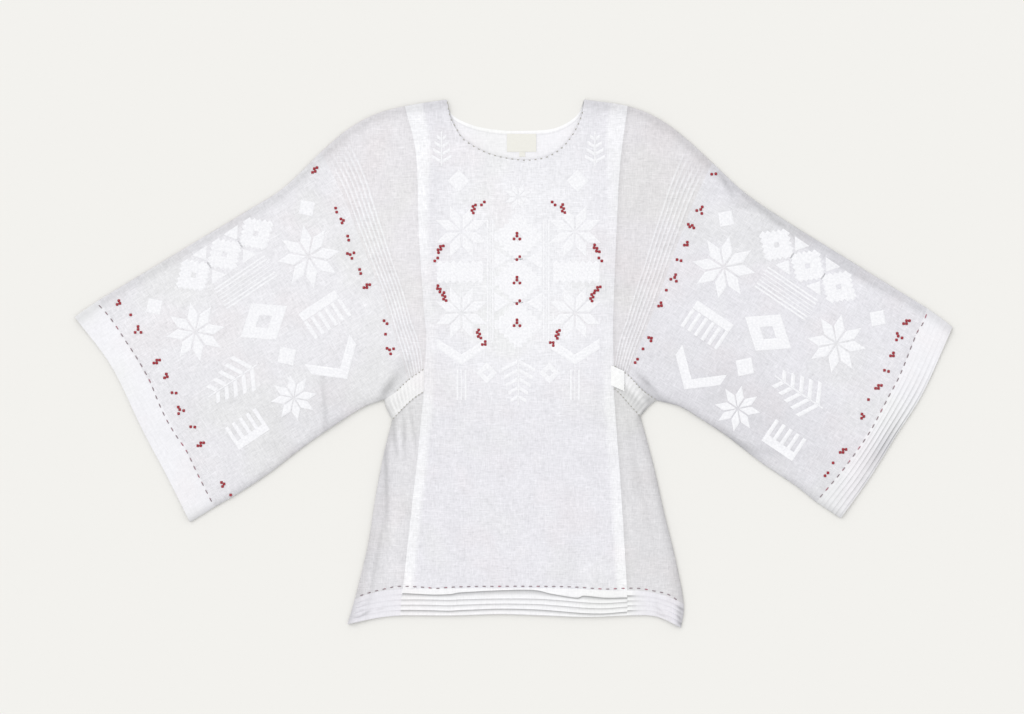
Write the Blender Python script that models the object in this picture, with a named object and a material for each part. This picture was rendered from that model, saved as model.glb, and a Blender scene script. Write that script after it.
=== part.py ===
"""A wide-sleeved embroidered linen blouse, laid flat on its back.

Lengths below are in millimetres and become metres in cloth(). x runs across the sleeves, y towards the neck and z up
from the surface that the blouse lies on. x = y = 0 is the middle of the laid garment's box. Left and right are the
left and right of the view from above.

Every piece is a wall of cloth. Its plan is filled between four seam or edge lines, and its sections run over the
upper layer, round a soft fold and back along the flat lower layer.
"""

import bpy
import numpy as np

MM = 0.001

# Cloth and how it lies
CLOTH = 1.2  # wall thickness
SEAM = 0.3  # clearance on each side of a seam
LAID = 3.3  # height of the upper layer's outer face
FOLD_HEIGHT = 5.2  # the same at a folded edge
FOLD_REACH = 8.0  # how far in from the outline a fold begins to round down
FOLD_STEPS = 3  # points round a quarter turn of a fold
SEAMED_TURN = 86  # degrees that each layer turns towards the other at a shoulder seam, just short of meeting
NECK_FADE = 24.0  # how far along the neckline from its corners the layers part
PUFF = 30.0  # how far in from the outline the upper layer sinks from FOLD_HEIGHT to LAID
LEAST_HEIGHT = 2.8  # what keeps the upper layer off the lower one in the deepest crease

# Points along the longer seams, shared by the pieces on both sides of each
GORE_ROWS = 11
ARMHOLE_STATIONS = np.linspace(0, 1, 11)

# Tucks: height over the cloth. A free edge drops to the cloth within TUCK_DROP of a tuck's width
HEM_TUCKS = 4
CUFF_TUCKS = 5
PINTUCKS = 6
HEM_TUCK_HEIGHT = 1.3
CUFF_TUCK_HEIGHT = 0.9
PINTUCK_HEIGHT = 0.9
TUCK_DROP = 0.25
CUFF_PLAIN = 0.12, 0.06  # the shares of a cuff's depth that are plain at its seam and at its edge
PLAIN_STRIP = 0.22  # the share of a hem band above its first tuck
PINTUCKED = 0.42  # the share of a shoulder panel's width that its pintucks take, on the sleeve's side

# Casing: gathers across it and how far they rise
GATHERS = 9
GATHER_HEIGHT = 1.1
CASING_RISE = 0.9

# Seams and outlines, as x, y points that a smooth line runs through
NECK = {
    "front": ((-100, 396), (-95, 371), (-80, 342), (-49, 320), (-18, 309), (13, 305), (44, 309), (70, 322),
              (91, 347), (102, 371), (106, 396)),
    "back": ((-100, 396), (-92, 373), (-60, 357), (-20, 350), (20, 349), (62, 353), (94, 371), (106, 396)),
}
HEM_SEAM = ((-238, -353), (-212, -344), (-166, -338), (-89, -337), (-10, -337), (68, -337), (136, -340),
            (170, -340), (200, -342), (230, -349), (255, -360))
HEM_EDGE = ((-249, -391), (-208, -382), (-169, -378), (-90, -378), (-20, -376), (43, -378), (110, -380),
            (170, -378), (213, -379), (251, -396))
LEFT = {
    "shoulder": ((-100, 396), (-163, 386), (-209, 373), (-250, 350), (-289, 317)),
    "sleeve_top": ((-289, 317), (-344, 264), (-394, 232), (-506, 165), (-622, 95)),
    "cuff_top": ((-622, 95), (-640, 83), (-658, 70)),
    "cuff_edge": ((-658, 70), (-603, -4), (-556, -100), (-520, -168), (-485, -238)),
    "cuff_seam": ((-622, 95), (-581, 33), (-540, -40), (-500, -114), (-448, -215)),
    "underside": ((-194, -54), (-226, -66), (-260, -87), (-314, -124), (-366, -164), (-410, -193), (-448, -215)),
    "cuff_underside": ((-448, -215), (-467, -227), (-485, -238)),
    "armhole": ((-289, 317), (-259, 260), (-239, 209), (-218, 155), (-194, 94), (-174, 28), (-158, -25)),
    "casing_above": ((-134, -8), (-158, -25), (-176, -42), (-194, -54)),
    "casing_below": ((-135, -42), (-151, -53), (-166, -67), (-182, -84)),
    "casing_tip": ((-194, -54), (-191, -66), (-182, -84)),
    "side": ((-182, -84), (-196, -142), (-208, -206), (-219, -275), (-238, -353), (-249, -391)),
    "centre": ((-163, 386), (-146, 311), (-142, 195), (-135, 90), (-131, 35), (-134, -8), (-135, -42),
               (-144, -140), (-152, -210), (-166, -338), (-169, -378)),
}
RIGHT = {
    "shoulder": ((106, 396), (171, 386), (218, 367), (260, 336), (298, 301)),
    "sleeve_top": ((298, 301), (348, 255), (410, 213), (513, 149), (620, 83)),
    "cuff_top": ((620, 83), (640, 69), (658, 55)),
    "cuff_edge": ((658, 55), (614, -43), (572, -110), (532, -174), (490, -232)),
    "cuff_seam": ((620, 83), (588, 5), (548, -75), (502, -147), (454, -208)),
    "underside": ((214, -55), (250, -65), (282, -84), (320, -109), (372, -149), (421, -182), (454, -208)),
    "cuff_underside": ((454, -208), (472, -220), (490, -232)),
    "armhole": ((298, 301), (271, 245), (250, 191), (229, 133), (212, 86), (193, 38), (172, -18)),
    "casing_above": ((150, -3), (172, -18), (192, -39), (214, -55)),
    "casing_below": ((150, -36), (163, -49), (176, -64), (190, -79)),
    "casing_tip": ((214, -55), (203, -64), (190, -79)),
    "side": ((190, -79), (209, -150), (226, -225), (243, -295), (255, -360), (251, -396)),
    "centre": ((171, 386), (160, 301), (155, 214), (151, 120), (149, 50), (150, -3), (150, -36),
               (155, -110), (160, -175), (170, -340), (170, -378)),
}

# Main creases of the upper layer, as ridges from one end to the other. A narrow side falls steeply and looks dark.
# Columns: from x, from y, to x, to y, height, width on the left of its way, width on the right
CREASE_FADE = 0.25  # the share of a crease over which it rises at each end
CREASES = (
    (-276, 20, -286, -112, 1.7, 26, 5),
    (-330, -20, -360, -130, 0.7, 16, 22),
    (-420, 120, -480, -40, 0.6, 24, 30),
    (-250, 330, -215, 250, 0.7, 14, 20),
    (-192, -118, -226, -300, 1.6, 9, 16),
    (-176, -104, -196, -210, 1.1, 6, 9),
    (-162, -86, -172, -160, 0.8, 5, 7),
    (-206, -190, -240, -372, 1.2, 10, 18),
    (222, -60, 345, -104, 2.0, 20, 6),
    (345, -104, 440, -112, 1.2, 30, 9),
    (323, 262, 440, 178, 1.6, 12, 7),
    (440, 178, 590, 92, 1.7, 14, 8),
    (310, 280, 330, 215, 1.2, 8, 14),
    (205, -120, 226, -260, 0.8, 12, 9),
    (214, -250, 236, -372, 1.3, 9, 6),
    (560, -60, 512, -150, 1.0, 10, 7),
    (60, -338, 100, -378, 1.1, 12, 16),
)

# Small pieces. Columns: name, x and y of the middle, width, depth, thickness, what it lies on
LOWER, UPPER = 0, 1
SMALL_PIECES = (
    ("label", 12, 331, 44, 27, 0.8, LOWER),
    ("label_tab", 13, 313.7, 9, 7, 0.6, LOWER),
    ("casing_tab", 156, -22, 20, 30, 1.0, UPPER),
)
TAB_SHEAR = 0.45  # how far the casing's loose end leans for each millimetre of its width

MATERIALS = {
    "linen": ((0.86, 0.86, 0.88, 1), 0.85),
    "band": ((0.93, 0.93, 0.94, 1), 0.8),
    "casing": ((0.90, 0.91, 0.88, 1), 0.8),
    "woven_label": ((0.84, 0.83, 0.76, 1), 0.6),
}


# Lines in plan
def smooth(points, steps=24):
    """A smooth line through the points, with a Catmull-Rom span between each two."""
    p = np.array(points, float)
    p = np.vstack([2 * p[0] - p[1], p, 2 * p[-1] - p[-2]])
    t = np.linspace(0, 1, steps, endpoint=False)[:, None]
    spans = [
        b + 0.5 * t * (c - a + t * (2 * a - 5 * b + 4 * c - d + t * (3 * (b - c) + d - a)))
        for a, b, c, d in zip(p, p[1:], p[2:], p[3:])
    ]
    return np.vstack([*spans, p[-2:-1]])


def lengths(line):
    """How far along the line each of its points is."""
    return np.concatenate([[0], np.cumsum(np.hypot(*np.diff(line, axis=0).T))])


def along(line, share):
    """The points at these shares of the line's length."""
    run = lengths(line)
    return np.stack([np.interp(share * run[-1], run, line[:, axis]) for axis in (0, 1)], axis=-1)


def share_at(line, point):
    """The share of the line's length at which it passes nearest the point."""
    run = lengths(line)
    return run[np.argmin(np.hypot(*(line - point).T))] / run[-1]


def stretch(line, start, end):
    """The stretch of a line from nearest one point to nearest another."""
    return along(line, np.linspace(share_at(line, start), share_at(line, end), 97))


def joined(*lines):
    """One line from several that meet end to end."""
    return np.vstack([lines[0], *(line[1:] for line in lines[1:])])


def filled(start, end, first, last):
    """The plan between four lines: start and end run with u, first and last run with v, as a Coons patch."""

    def plan(u, v):
        u, v = u[:, None, None], v[None, :, None]
        across = (1 - v) * along(start, u[:, 0, 0])[:, None] + v * along(end, u[:, 0, 0])[:, None]
        down = (1 - u) * along(first, v[0, :, 0])[None] + u * along(last, v[0, :, 0])[None]
        low = (1 - v) * start[0] + v * end[0]
        high = (1 - v) * start[-1] + v * end[-1]
        return across + down - (1 - u) * low - u * high

    return plan


def drawn_in(grid, by=SEAM):
    """Moves the first row of a plan in from its seam, square to it."""
    ahead = np.gradient(grid[0], axis=0)
    square = np.stack([-ahead[:, 1], ahead[:, 0]], axis=-1) / np.hypot(*ahead.T)[:, None]
    inward = np.sign(np.sum(square * (grid[1] - grid[0]), axis=1, keepdims=True))
    grid[0] += by * inward * square


# Heights
def folded_edges():
    """Points along every folded outline, which the upper layer rises towards."""
    names = ("shoulder", "sleeve_top", "cuff_top", "underside", "cuff_underside", "casing_tip", "side")
    lines = [smooth(side[name]) for side in (LEFT, RIGHT) for name in names]
    return np.vstack([along(line, np.linspace(0, 1, 60)) for line in lines])


FOLDED = folded_edges()


def crease(x, y, row):
    """A ridge along one line, fading at both ends, with its own width on each side."""
    x0, y0, x1, y1, height, left, right = row
    way = np.array([x1 - x0, y1 - y0])
    run = np.hypot(*way)
    t = ((x - x0) * way[0] + (y - y0) * way[1]) / run**2
    off = (way[0] * (y - y0) - way[1] * (x - x0)) / run
    width = np.where(off > 0, left, right)
    ends = np.clip(t / CREASE_FADE, 0, 1) * np.clip((1 - t) / CREASE_FADE, 0, 1)
    return height * ends * np.exp(-((off / width) ** 2))


def upper(plan):
    """Height of the upper layer's outer face over the surface."""
    x, y = plan[..., 0], plan[..., 1]
    flat = plan.reshape(-1, 2)
    near = np.array([np.hypot(*(FOLDED - point).T).min() for point in flat]).reshape(x.shape)
    height = LAID + (FOLD_HEIGHT - LAID) * np.exp(-((near / PUFF) ** 2))
    height = height + sum(crease(x, y, row) for row in CREASES)
    return np.maximum(height, LEAST_HEIGHT)


def saw(share, count):
    """Tucks side by side over shares 0 to 1: each rises to its free edge and drops there."""
    phase = (np.clip(share, 0, 1) * count) % 1
    rise = np.clip(phase / (1 - TUCK_DROP), 0, 1)
    drop = np.clip((1 - phase) / TUCK_DROP, 0, 1)
    return np.where((share > 0) & (share < 1), np.minimum(rise, drop), 0)


def tuck_stations(low, high, count):
    """Where a row of points has to lie for count tucks between two shares: each tuck's foot and its free edge."""
    width = (high - low) / count
    feet = low + width * np.arange(count + 1)
    return np.sort(np.concatenate([feet, feet[:-1] + width * (1 - TUCK_DROP)]))


# Walls of cloth
def material(name):
    """The named material, made once."""
    found = bpy.data.materials.get(name)
    if found:
        return found
    made = bpy.data.materials.new(name)
    made.use_nodes = True
    colour, roughness = MATERIALS[name]
    made.diffuse_color = colour
    shader = made.node_tree.nodes["Principled BSDF"]
    shader.inputs["Base Color"].default_value = colour
    shader.inputs["Roughness"].default_value = roughness
    shader.inputs["Metallic"].default_value = 0
    return made


def cloth(name, outer, inner, look, tube=False):
    """A closed wall between two faces, each a grid of sections of points in millimetres."""
    rows, columns = outer.shape[:2]
    points = np.vstack([outer.reshape(-1, 3), inner.reshape(-1, 3)]) * MM
    at = np.arange(rows * columns).reshape(rows, columns)
    if tube:
        at = np.hstack([at, at[:, :1]])
    under = at + rows * columns
    quads = [np.stack([at[:-1, :-1], at[1:, :-1], at[1:, 1:], at[:-1, 1:]], axis=-1)]
    quads.append(np.stack([under[:-1, :-1], under[:-1, 1:], under[1:, 1:], under[1:, :-1]], axis=-1))
    quads.append(np.stack([at[0, :-1], at[0, 1:], under[0, 1:], under[0, :-1]], axis=-1))
    quads.append(np.stack([at[-1, 1:], at[-1, :-1], under[-1, :-1], under[-1, 1:]], axis=-1))
    if not tube:
        quads.append(np.stack([at[1:, 0], at[:-1, 0], under[:-1, 0], under[1:, 0]], axis=-1))
        quads.append(np.stack([at[:-1, -1], at[1:, -1], under[1:, -1], under[:-1, -1]], axis=-1))
    faces = np.vstack([quad.reshape(-1, 4) for quad in quads])
    corners = points[faces]
    if np.sum(np.cross(corners[:, 1] - corners[:, 0], corners[:, 2] - corners[:, 0]) * corners[:, 0]) < 0:
        faces = faces[:, ::-1]
    mesh = bpy.data.meshes.new(name)
    mesh.from_pydata(points.tolist(), [], faces.tolist())
    mesh.materials.append(material(look))
    mesh.shade_smooth()
    mesh.set_sharp_from_angle(angle=np.radians(50))
    blouse.objects.link(bpy.data.objects.new(name, mesh))


def rounded(count, half=False):
    """Angles round a fold, from the upper layer down to the lower one or to just above the seam half way."""
    return np.linspace(0, SEAMED_TURN, count) if half else np.linspace(0, 180, 2 * count - 1)[1:-1]


def section(line, shares, raised, at_start, at_end, layers, weight=1.0):
    """One section over a line in plan, as outer and inner points.

    shares place the upper layer's points between its folds, and every second one places the lower layer's. raised
    lifts the outer face. at_start and at_end say which ends of the line are folded, layers is both or front, and
    weight is how fully the fold closes.
    """
    run = lengths(line)
    low = FOLD_REACH if at_start else 0.0
    high = run[-1] - (FOLD_REACH if at_end else 0.0)

    def place(where):
        return np.stack([np.interp(where, run, line[:, axis]) for axis in (0, 1)], axis=-1)

    def points(where, height):
        return np.column_stack([place(np.atleast_1d(where)), np.atleast_1d(height)])

    top = low + (high - low) * shares
    height = upper(place(top))
    outer = [points(top, height + raised)]
    inner = [points(top, height - CLOTH)]
    back = top[::-1][::2]

    def fold(where, sign, angles):
        half = upper(place(np.array([where])))[0] / 2
        turn = np.radians(angles)
        drop = weight * (1 - np.cos(turn))
        outer.append(points(where + sign * FOLD_REACH * np.sin(turn), 2 * half - half * drop))
        inner.append(points(where + sign * (FOLD_REACH - CLOTH * weight) * np.sin(turn),
                            2 * half - CLOTH - (half - CLOTH) * drop))

    if layers == "front":
        fold(high, 1, rounded(FOLD_STEPS, half=True)[1:])
        return np.vstack(outer), np.vstack(inner)
    if at_end:
        fold(high, 1, rounded(FOLD_STEPS))
    outer.append(points(back, np.zeros(len(back))))
    inner.append(points(back, np.full(len(back), CLOTH)))
    if at_start:
        fold(low, -1, rounded(FOLD_STEPS)[::-1])
    return np.vstack(outer), np.vstack(inner)


def wrapped(name, plan, rows, columns, look, start=False, end=True, raised=None, seams=(True, True, True)):
    """A piece whose sections are folded over at one or both ends. seams: first row, last row and the open end."""
    fine = np.linspace(0, 1, 161)
    grid = plan(rows, fine)
    if seams[0]:
        drawn_in(grid)
    if seams[1]:
        drawn_in(grid[::-1])
    if seams[2] and not start:
        drawn_in(grid.transpose(1, 0, 2))
    lift = raised(rows[:, None], columns[None]) if raised else np.zeros((len(rows), len(columns)))
    made = [section(line, columns, up, start, end, "both") for line, up in zip(grid, lift)]
    outer, inner = (np.array(side) for side in zip(*made))
    cloth(name, outer, inner, look, tube=start and end)


# Pieces
def sleeve(side, lines):
    """A wide tube from the armhole and the casing to the cuff, folded along its top and its underside."""
    first = joined(smooth(lines["armhole"]), stretch(smooth(lines["casing_above"]), lines["casing_above"][1],
                                                     lines["casing_above"][-1]))
    plan = filled(smooth(lines["sleeve_top"]), smooth(lines["underside"]), first, smooth(lines["cuff_seam"]))
    run = lengths(first)[-1]
    corner = (share_at(first, lines["armhole"][-1]) * run - FOLD_REACH) / (run - 2 * FOLD_REACH)
    columns = np.concatenate([corner * ARMHOLE_STATIONS, [(1 + corner) / 2, 1.0]])
    rows = np.concatenate([[0, 0.03, 0.07], np.linspace(0.12, 1, 14)])
    wrapped(f"sleeve_{side}", plan, rows, columns, "linen", start=True)
    cuff(side, lines, columns)


def cuff(side, lines, columns):
    """A tucked band round the sleeve's end. Its sections have the sleeve's columns."""
    plan = filled(smooth(lines["cuff_top"]), smooth(lines["cuff_underside"]), smooth(lines["cuff_seam"]),
                  smooth(lines["cuff_edge"]))
    low, high = CUFF_PLAIN[0], 1 - CUFF_PLAIN[1]
    rows = np.concatenate([tuck_stations(low, high, CUFF_TUCKS), [0.0, 1.0]])

    def tucks(u, v):
        return CUFF_TUCK_HEIGHT * saw((u - low) / (high - low), CUFF_TUCKS) * np.clip(8 * v * (1 - v), 0.2, 1)

    wrapped(f"cuff_{side}", plan, np.sort(rows), columns, "band", start=True, raised=tucks,
            seams=(True, False, False))


def shoulder(side, lines):
    """A panel over the shoulder that narrows to the casing, with pintucks fanning up its sleeve side."""
    centre = smooth(lines["centre"])
    above = lines["casing_above"]
    outline = stretch(smooth(lines["shoulder"]), lines["centre"][0], lines["shoulder"][-1])
    plan = filled(stretch(smooth(above), above[0], above[1]), outline,
                  stretch(centre, above[0], lines["centre"][0]), smooth(lines["armhole"])[::-1])
    low = 1 - PINTUCKED
    width = PINTUCKED / (PINTUCKS + 0.5)
    feet = low + width * np.arange(PINTUCKS + 1)
    rows = np.concatenate([[0, 0.2, 0.4], feet, feet[:-1] + width / 2, [1.0]])

    def pintucks(u, v):
        phase = np.clip((u - low) / width, 0, PINTUCKS)
        return PINTUCK_HEIGHT * (1 - np.abs(2 * (phase % 1) - 1)) * np.clip(4 * (1.05 - v), 0, 1) + 0 * v

    wrapped(f"shoulder_{side}", plan, np.sort(rows), ARMHOLE_STATIONS, "linen", raised=pintucks)


def casing(side, lines):
    """A gathered band round the side, from the centre seam to its tip and back."""
    centre = smooth(lines["centre"])
    above, below = lines["casing_above"], lines["casing_below"]
    plan = filled(stretch(centre, above[0], below[0]), smooth(lines["casing_tip"]), smooth(above), smooth(below))
    columns = np.linspace(0, 1, 2 * GATHERS + 1)

    def gathers(u, v):
        wave = np.where(np.arange(v.size) % 2, 1.0, 0.0)[None] * GATHER_HEIGHT
        edge = np.sin(np.pi * np.clip(u, 0.12, 0.88))
        return (CASING_RISE + wave * edge) * np.clip(8 * (1.0 - v), 0, 1)

    wrapped(f"casing_{side}", plan, np.array([0, 0.2, 0.5, 0.8, 1.0]), columns, "casing", raised=gathers)


def gore(side, lines):
    """A flared panel below the casing, folded along the body's side."""
    centre = smooth(lines["centre"])
    hem = stretch(smooth(HEM_SEAM), lines["centre"][-2], lines["side"][-2])
    body_side = stretch(smooth(lines["side"]), lines["side"][0], lines["side"][-2])
    plan = filled(stretch(centre, lines["casing_below"][0], lines["centre"][-2]), body_side,
                  smooth(lines["casing_below"]), hem)
    wrapped(f"gore_{side}", plan, np.linspace(0, 1, GORE_ROWS), np.linspace(0, 1, 9), "linen")


def hem_tucks(u, v):
    """Rises of the hem's tucks, which share one height along the band."""
    return HEM_TUCK_HEIGHT * saw((u - PLAIN_STRIP) / (1 - PLAIN_STRIP), HEM_TUCKS) + 0 * v


def hem_rows():
    """Rows of a hem band: its seam, and each tuck's foot and free edge."""
    return np.concatenate([[0.0], tuck_stations(PLAIN_STRIP, 1.0, HEM_TUCKS)])


def hem_side(side, lines):
    """A tucked band round the side, below the gore."""
    centre = stretch(smooth(lines["centre"]), lines["centre"][-2], lines["centre"][-1])
    body_side = stretch(smooth(lines["side"]), lines["side"][-2], lines["side"][-1])
    plan = filled(centre, body_side, stretch(smooth(HEM_SEAM), lines["centre"][-2], lines["side"][-2]),
                  stretch(smooth(HEM_EDGE), lines["centre"][-1], lines["side"][-1]))
    wrapped(f"hem_{side}", plan, hem_rows(), np.linspace(0, 1, 9), "band", raised=hem_tucks,
            seams=(True, False, True))


def seam_shares(line, lines, stations):
    """Where a centre panel's points lie up its seam, level with those of the gore, the casing and the shoulder."""
    run = lengths(line)[-1]
    below = run * share_at(line, lines["casing_below"][0])
    above = run * share_at(line, lines["casing_above"][0])
    top = run - FOLD_REACH
    return np.concatenate([np.linspace(0, below, GORE_ROWS), above + (top - above) * stations]) / top


def panel(name, neck, layers):
    """A centre panel from the hem seam to the shoulders, with a neckline between them."""
    left, right = smooth(LEFT["centre"]), smooth(RIGHT["centre"])
    ends = LEFT["centre"][-2], RIGHT["centre"][-2]
    over_left = stretch(smooth(LEFT["shoulder"]), LEFT["centre"][0], NECK[neck][0])
    over_right = stretch(smooth(RIGHT["shoulder"]), NECK[neck][-1], RIGHT["centre"][0])
    top = joined(over_left, smooth(NECK[neck]), over_right)
    plan = filled(stretch(smooth(HEM_SEAM), *ends), top, stretch(left, ends[0], LEFT["centre"][0]),
                  stretch(right, ends[1], RIGHT["centre"][0]))
    corners = [share_at(top, NECK[neck][at]) for at in (0, -1)]
    u = np.concatenate([np.linspace(0, corners[0], 4)[:-1], np.linspace(corners[0], corners[1], 15),
                        np.linspace(corners[1], 1, 4)[1:]])
    past = (u > corners[0]) & (u < corners[1])
    into = np.minimum(u - corners[0], corners[1] - u) * lengths(top)[-1]
    weights = np.where(past, np.clip(1 - into / NECK_FADE, 0, 1), 1.0)
    grid = plan(u, np.linspace(0, 1, 161))
    drawn_in(grid)
    drawn_in(grid[::-1])
    drawn_in(grid.transpose(1, 0, 2))
    stations = ARMHOLE_STATIONS[::2] if layers == "back" else ARMHOLE_STATIONS
    at_left = seam_shares(stretch(left, ends[0], LEFT["centre"][0]), LEFT, stations)
    at_right = seam_shares(stretch(right, ends[1], RIGHT["centre"][0]), RIGHT, stations)
    shares = at_left + u[:, None] * (at_right - at_left)
    make = flat_section if layers == "back" else front_section
    made = [make(*row) for row in zip(grid, shares, weights)]
    outer, inner = (np.array(side) for side in zip(*made))
    cloth(name, outer, inner, "linen")


def front_section(line, shares, weight):
    """One section of the upper layer alone, which turns down to meet the shoulder seam."""
    return section(line, shares, 0, False, True, "front", weight)


def flat_section(line, shares, weight):
    """One section of the lower layer alone, which turns up to meet the shoulder seam."""
    run = lengths(line)
    high = run[-1] - FOLD_REACH
    turn = np.radians(rounded(FOLD_STEPS, half=True)[1:])

    def place(where):
        return np.stack([np.interp(where, run, line[:, axis]) for axis in (0, 1)], axis=-1)

    half = upper(place(np.array([high])))[0] / 2
    flat = high * shares
    rise = weight * (1 - np.cos(turn))
    outer = np.column_stack([place(np.concatenate([flat, high + FOLD_REACH * np.sin(turn)])),
                             np.concatenate([flat * 0, half * rise])])
    inner_run = np.concatenate([flat, high + (FOLD_REACH - CLOTH * weight) * np.sin(turn)])
    inner = np.column_stack([place(inner_run), np.concatenate([flat * 0, (half - CLOTH) * rise]) + CLOTH])
    return outer, inner


def hem_centre(name, layers):
    """The tucked band below the centre front, or the plain one below the centre back."""
    left, right = LEFT["centre"], RIGHT["centre"]
    plan = filled(stretch(smooth(HEM_SEAM), left[-2], right[-2]), stretch(smooth(HEM_EDGE), left[-1], right[-1]),
                  stretch(smooth(left), *left[-2:]), stretch(smooth(right), *right[-2:]))
    u = np.linspace(0, 1, 15)
    v = hem_rows() if layers == "front" else np.array([0.0, 1.0])
    grid = plan(u, v)
    drawn_in(grid)
    drawn_in(grid[::-1])
    drawn_in(grid.transpose(1, 0, 2))
    height = upper(grid) if layers == "front" else np.full(grid.shape[:2], CLOTH)
    lift = hem_tucks(v[None], u[:, None]) if layers == "front" else 0
    outer = np.dstack([grid, height + lift])
    inner = np.dstack([grid, height - CLOTH])
    cloth(name, outer, inner, "band")


def small_piece(name, x, y, width, depth, thick, on):
    """A small flat piece lying on the lower or the upper layer, following its height."""
    u, v = np.meshgrid(np.linspace(-0.5, 0.5, 5), np.linspace(-0.5, 0.5, 4), indexing="ij")
    lean = TAB_SHEAR if on == UPPER else 0.0
    plan = np.dstack([x + u * width, y + v * depth - lean * u * width])
    over_casing = (CASING_RISE + GATHER_HEIGHT) * np.clip(4 * (u + 0.5), 0, 1)
    floor = np.full(u.shape, CLOTH) if on == LOWER else upper(plan) + over_casing
    low = np.dstack([plan, floor + SEAM])
    high = np.dstack([plan, floor + SEAM + thick])
    cloth(name, high, low, "woven_label" if on == LOWER else "casing")


for thing in list(bpy.data.objects):
    bpy.data.objects.remove(thing)

blouse = bpy.data.collections.new("blouse")
bpy.context.scene.collection.children.link(blouse)

panel("front_centre", "front", "front")
panel("back_centre", "back", "back")
for side, lines in (("left", LEFT), ("right", RIGHT)):
    shoulder(side, lines)
    sleeve(side, lines)
    casing(side, lines)
    gore(side, lines)
    hem_side(side, lines)
hem_centre("hem_front", "front")
hem_centre("hem_back", "back")
for row in SMALL_PIECES:
    small_piece(*row)
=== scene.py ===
# %% [markdown]
# # An embroidered linen blouse, laid flat
#
# This lesson dresses the plain solids of a wide-sleeved blouse as sheer linen with tucks, white satin
# stitch and red cross-stitch. The blouse lies on its back on a pale table and the camera looks straight
# down on it. The solids are loaded first, because every piece of cloth takes its place and outline from
# them.

# %% Load the solids
import math

import bpy
import numpy as np
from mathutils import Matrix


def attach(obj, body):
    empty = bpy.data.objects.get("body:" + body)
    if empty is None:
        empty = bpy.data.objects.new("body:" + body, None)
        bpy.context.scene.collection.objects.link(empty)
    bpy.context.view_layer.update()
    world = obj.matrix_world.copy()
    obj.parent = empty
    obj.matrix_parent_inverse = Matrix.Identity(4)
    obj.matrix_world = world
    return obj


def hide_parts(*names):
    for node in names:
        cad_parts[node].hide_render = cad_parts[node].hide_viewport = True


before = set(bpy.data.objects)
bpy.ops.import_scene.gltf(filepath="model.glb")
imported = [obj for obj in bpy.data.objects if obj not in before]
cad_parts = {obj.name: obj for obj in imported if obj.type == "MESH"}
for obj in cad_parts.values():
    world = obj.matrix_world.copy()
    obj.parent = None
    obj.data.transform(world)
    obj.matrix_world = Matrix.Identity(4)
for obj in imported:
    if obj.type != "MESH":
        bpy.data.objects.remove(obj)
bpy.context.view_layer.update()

MM = 0.001

# %% [markdown]
# ## Lines that the pieces share
#
# On the real blouse two pieces of cloth meet along each seam, so both are drawn from one line. Each line is
# a short table of points in millimetres, x across the sleeves and y towards the neck, and a smooth curve
# runs through it. Tables were chosen over curve objects because the same numbers also place the stitches.

# %% Seams and outlines
NECK = {
    "front": ((-100, 396), (-95, 371), (-80, 342), (-49, 320), (-18, 309), (13, 305), (44, 309), (70, 322),
              (91, 347), (102, 371), (106, 396)),
    "back": ((-100, 396), (-92, 373), (-60, 357), (-20, 350), (20, 349), (62, 353), (94, 371), (106, 396)),
}
HEM_SEAM = ((-238, -353), (-212, -344), (-166, -338), (-89, -337), (-10, -337), (68, -337), (136, -340),
            (170, -340), (200, -342), (230, -349), (255, -360))
HEM_EDGE = ((-249, -391), (-208, -382), (-169, -378), (-90, -378), (-20, -376), (43, -378), (110, -380),
            (170, -378), (213, -379), (251, -396))
LEFT = {
    "shoulder": ((-100, 396), (-163, 386), (-209, 373), (-250, 350), (-289, 317)),
    "sleeve_top": ((-289, 317), (-344, 264), (-394, 232), (-506, 165), (-622, 95)),
    "cuff_top": ((-622, 95), (-640, 83), (-658, 70)),
    "cuff_edge": ((-658, 70), (-603, -4), (-556, -100), (-520, -168), (-485, -238)),
    "cuff_seam": ((-622, 95), (-581, 33), (-540, -40), (-500, -114), (-448, -215)),
    "underside": ((-194, -54), (-226, -66), (-260, -87), (-314, -124), (-366, -164), (-410, -193),
                  (-448, -215)),
    "cuff_underside": ((-448, -215), (-467, -227), (-485, -238)),
    "armhole": ((-289, 317), (-259, 260), (-239, 209), (-218, 155), (-194, 94), (-174, 28), (-158, -25)),
    "casing_above": ((-134, -8), (-158, -25), (-176, -42), (-194, -54)),
    "casing_below": ((-135, -42), (-151, -53), (-166, -67), (-182, -84)),
    "casing_tip": ((-194, -54), (-191, -66), (-182, -84)),
    "side": ((-182, -84), (-196, -142), (-208, -206), (-219, -275), (-238, -353), (-249, -391)),
    "centre": ((-163, 386), (-146, 311), (-142, 195), (-135, 90), (-131, 35), (-134, -8), (-135, -42),
               (-144, -140), (-152, -210), (-166, -338), (-169, -378)),
}
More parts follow.
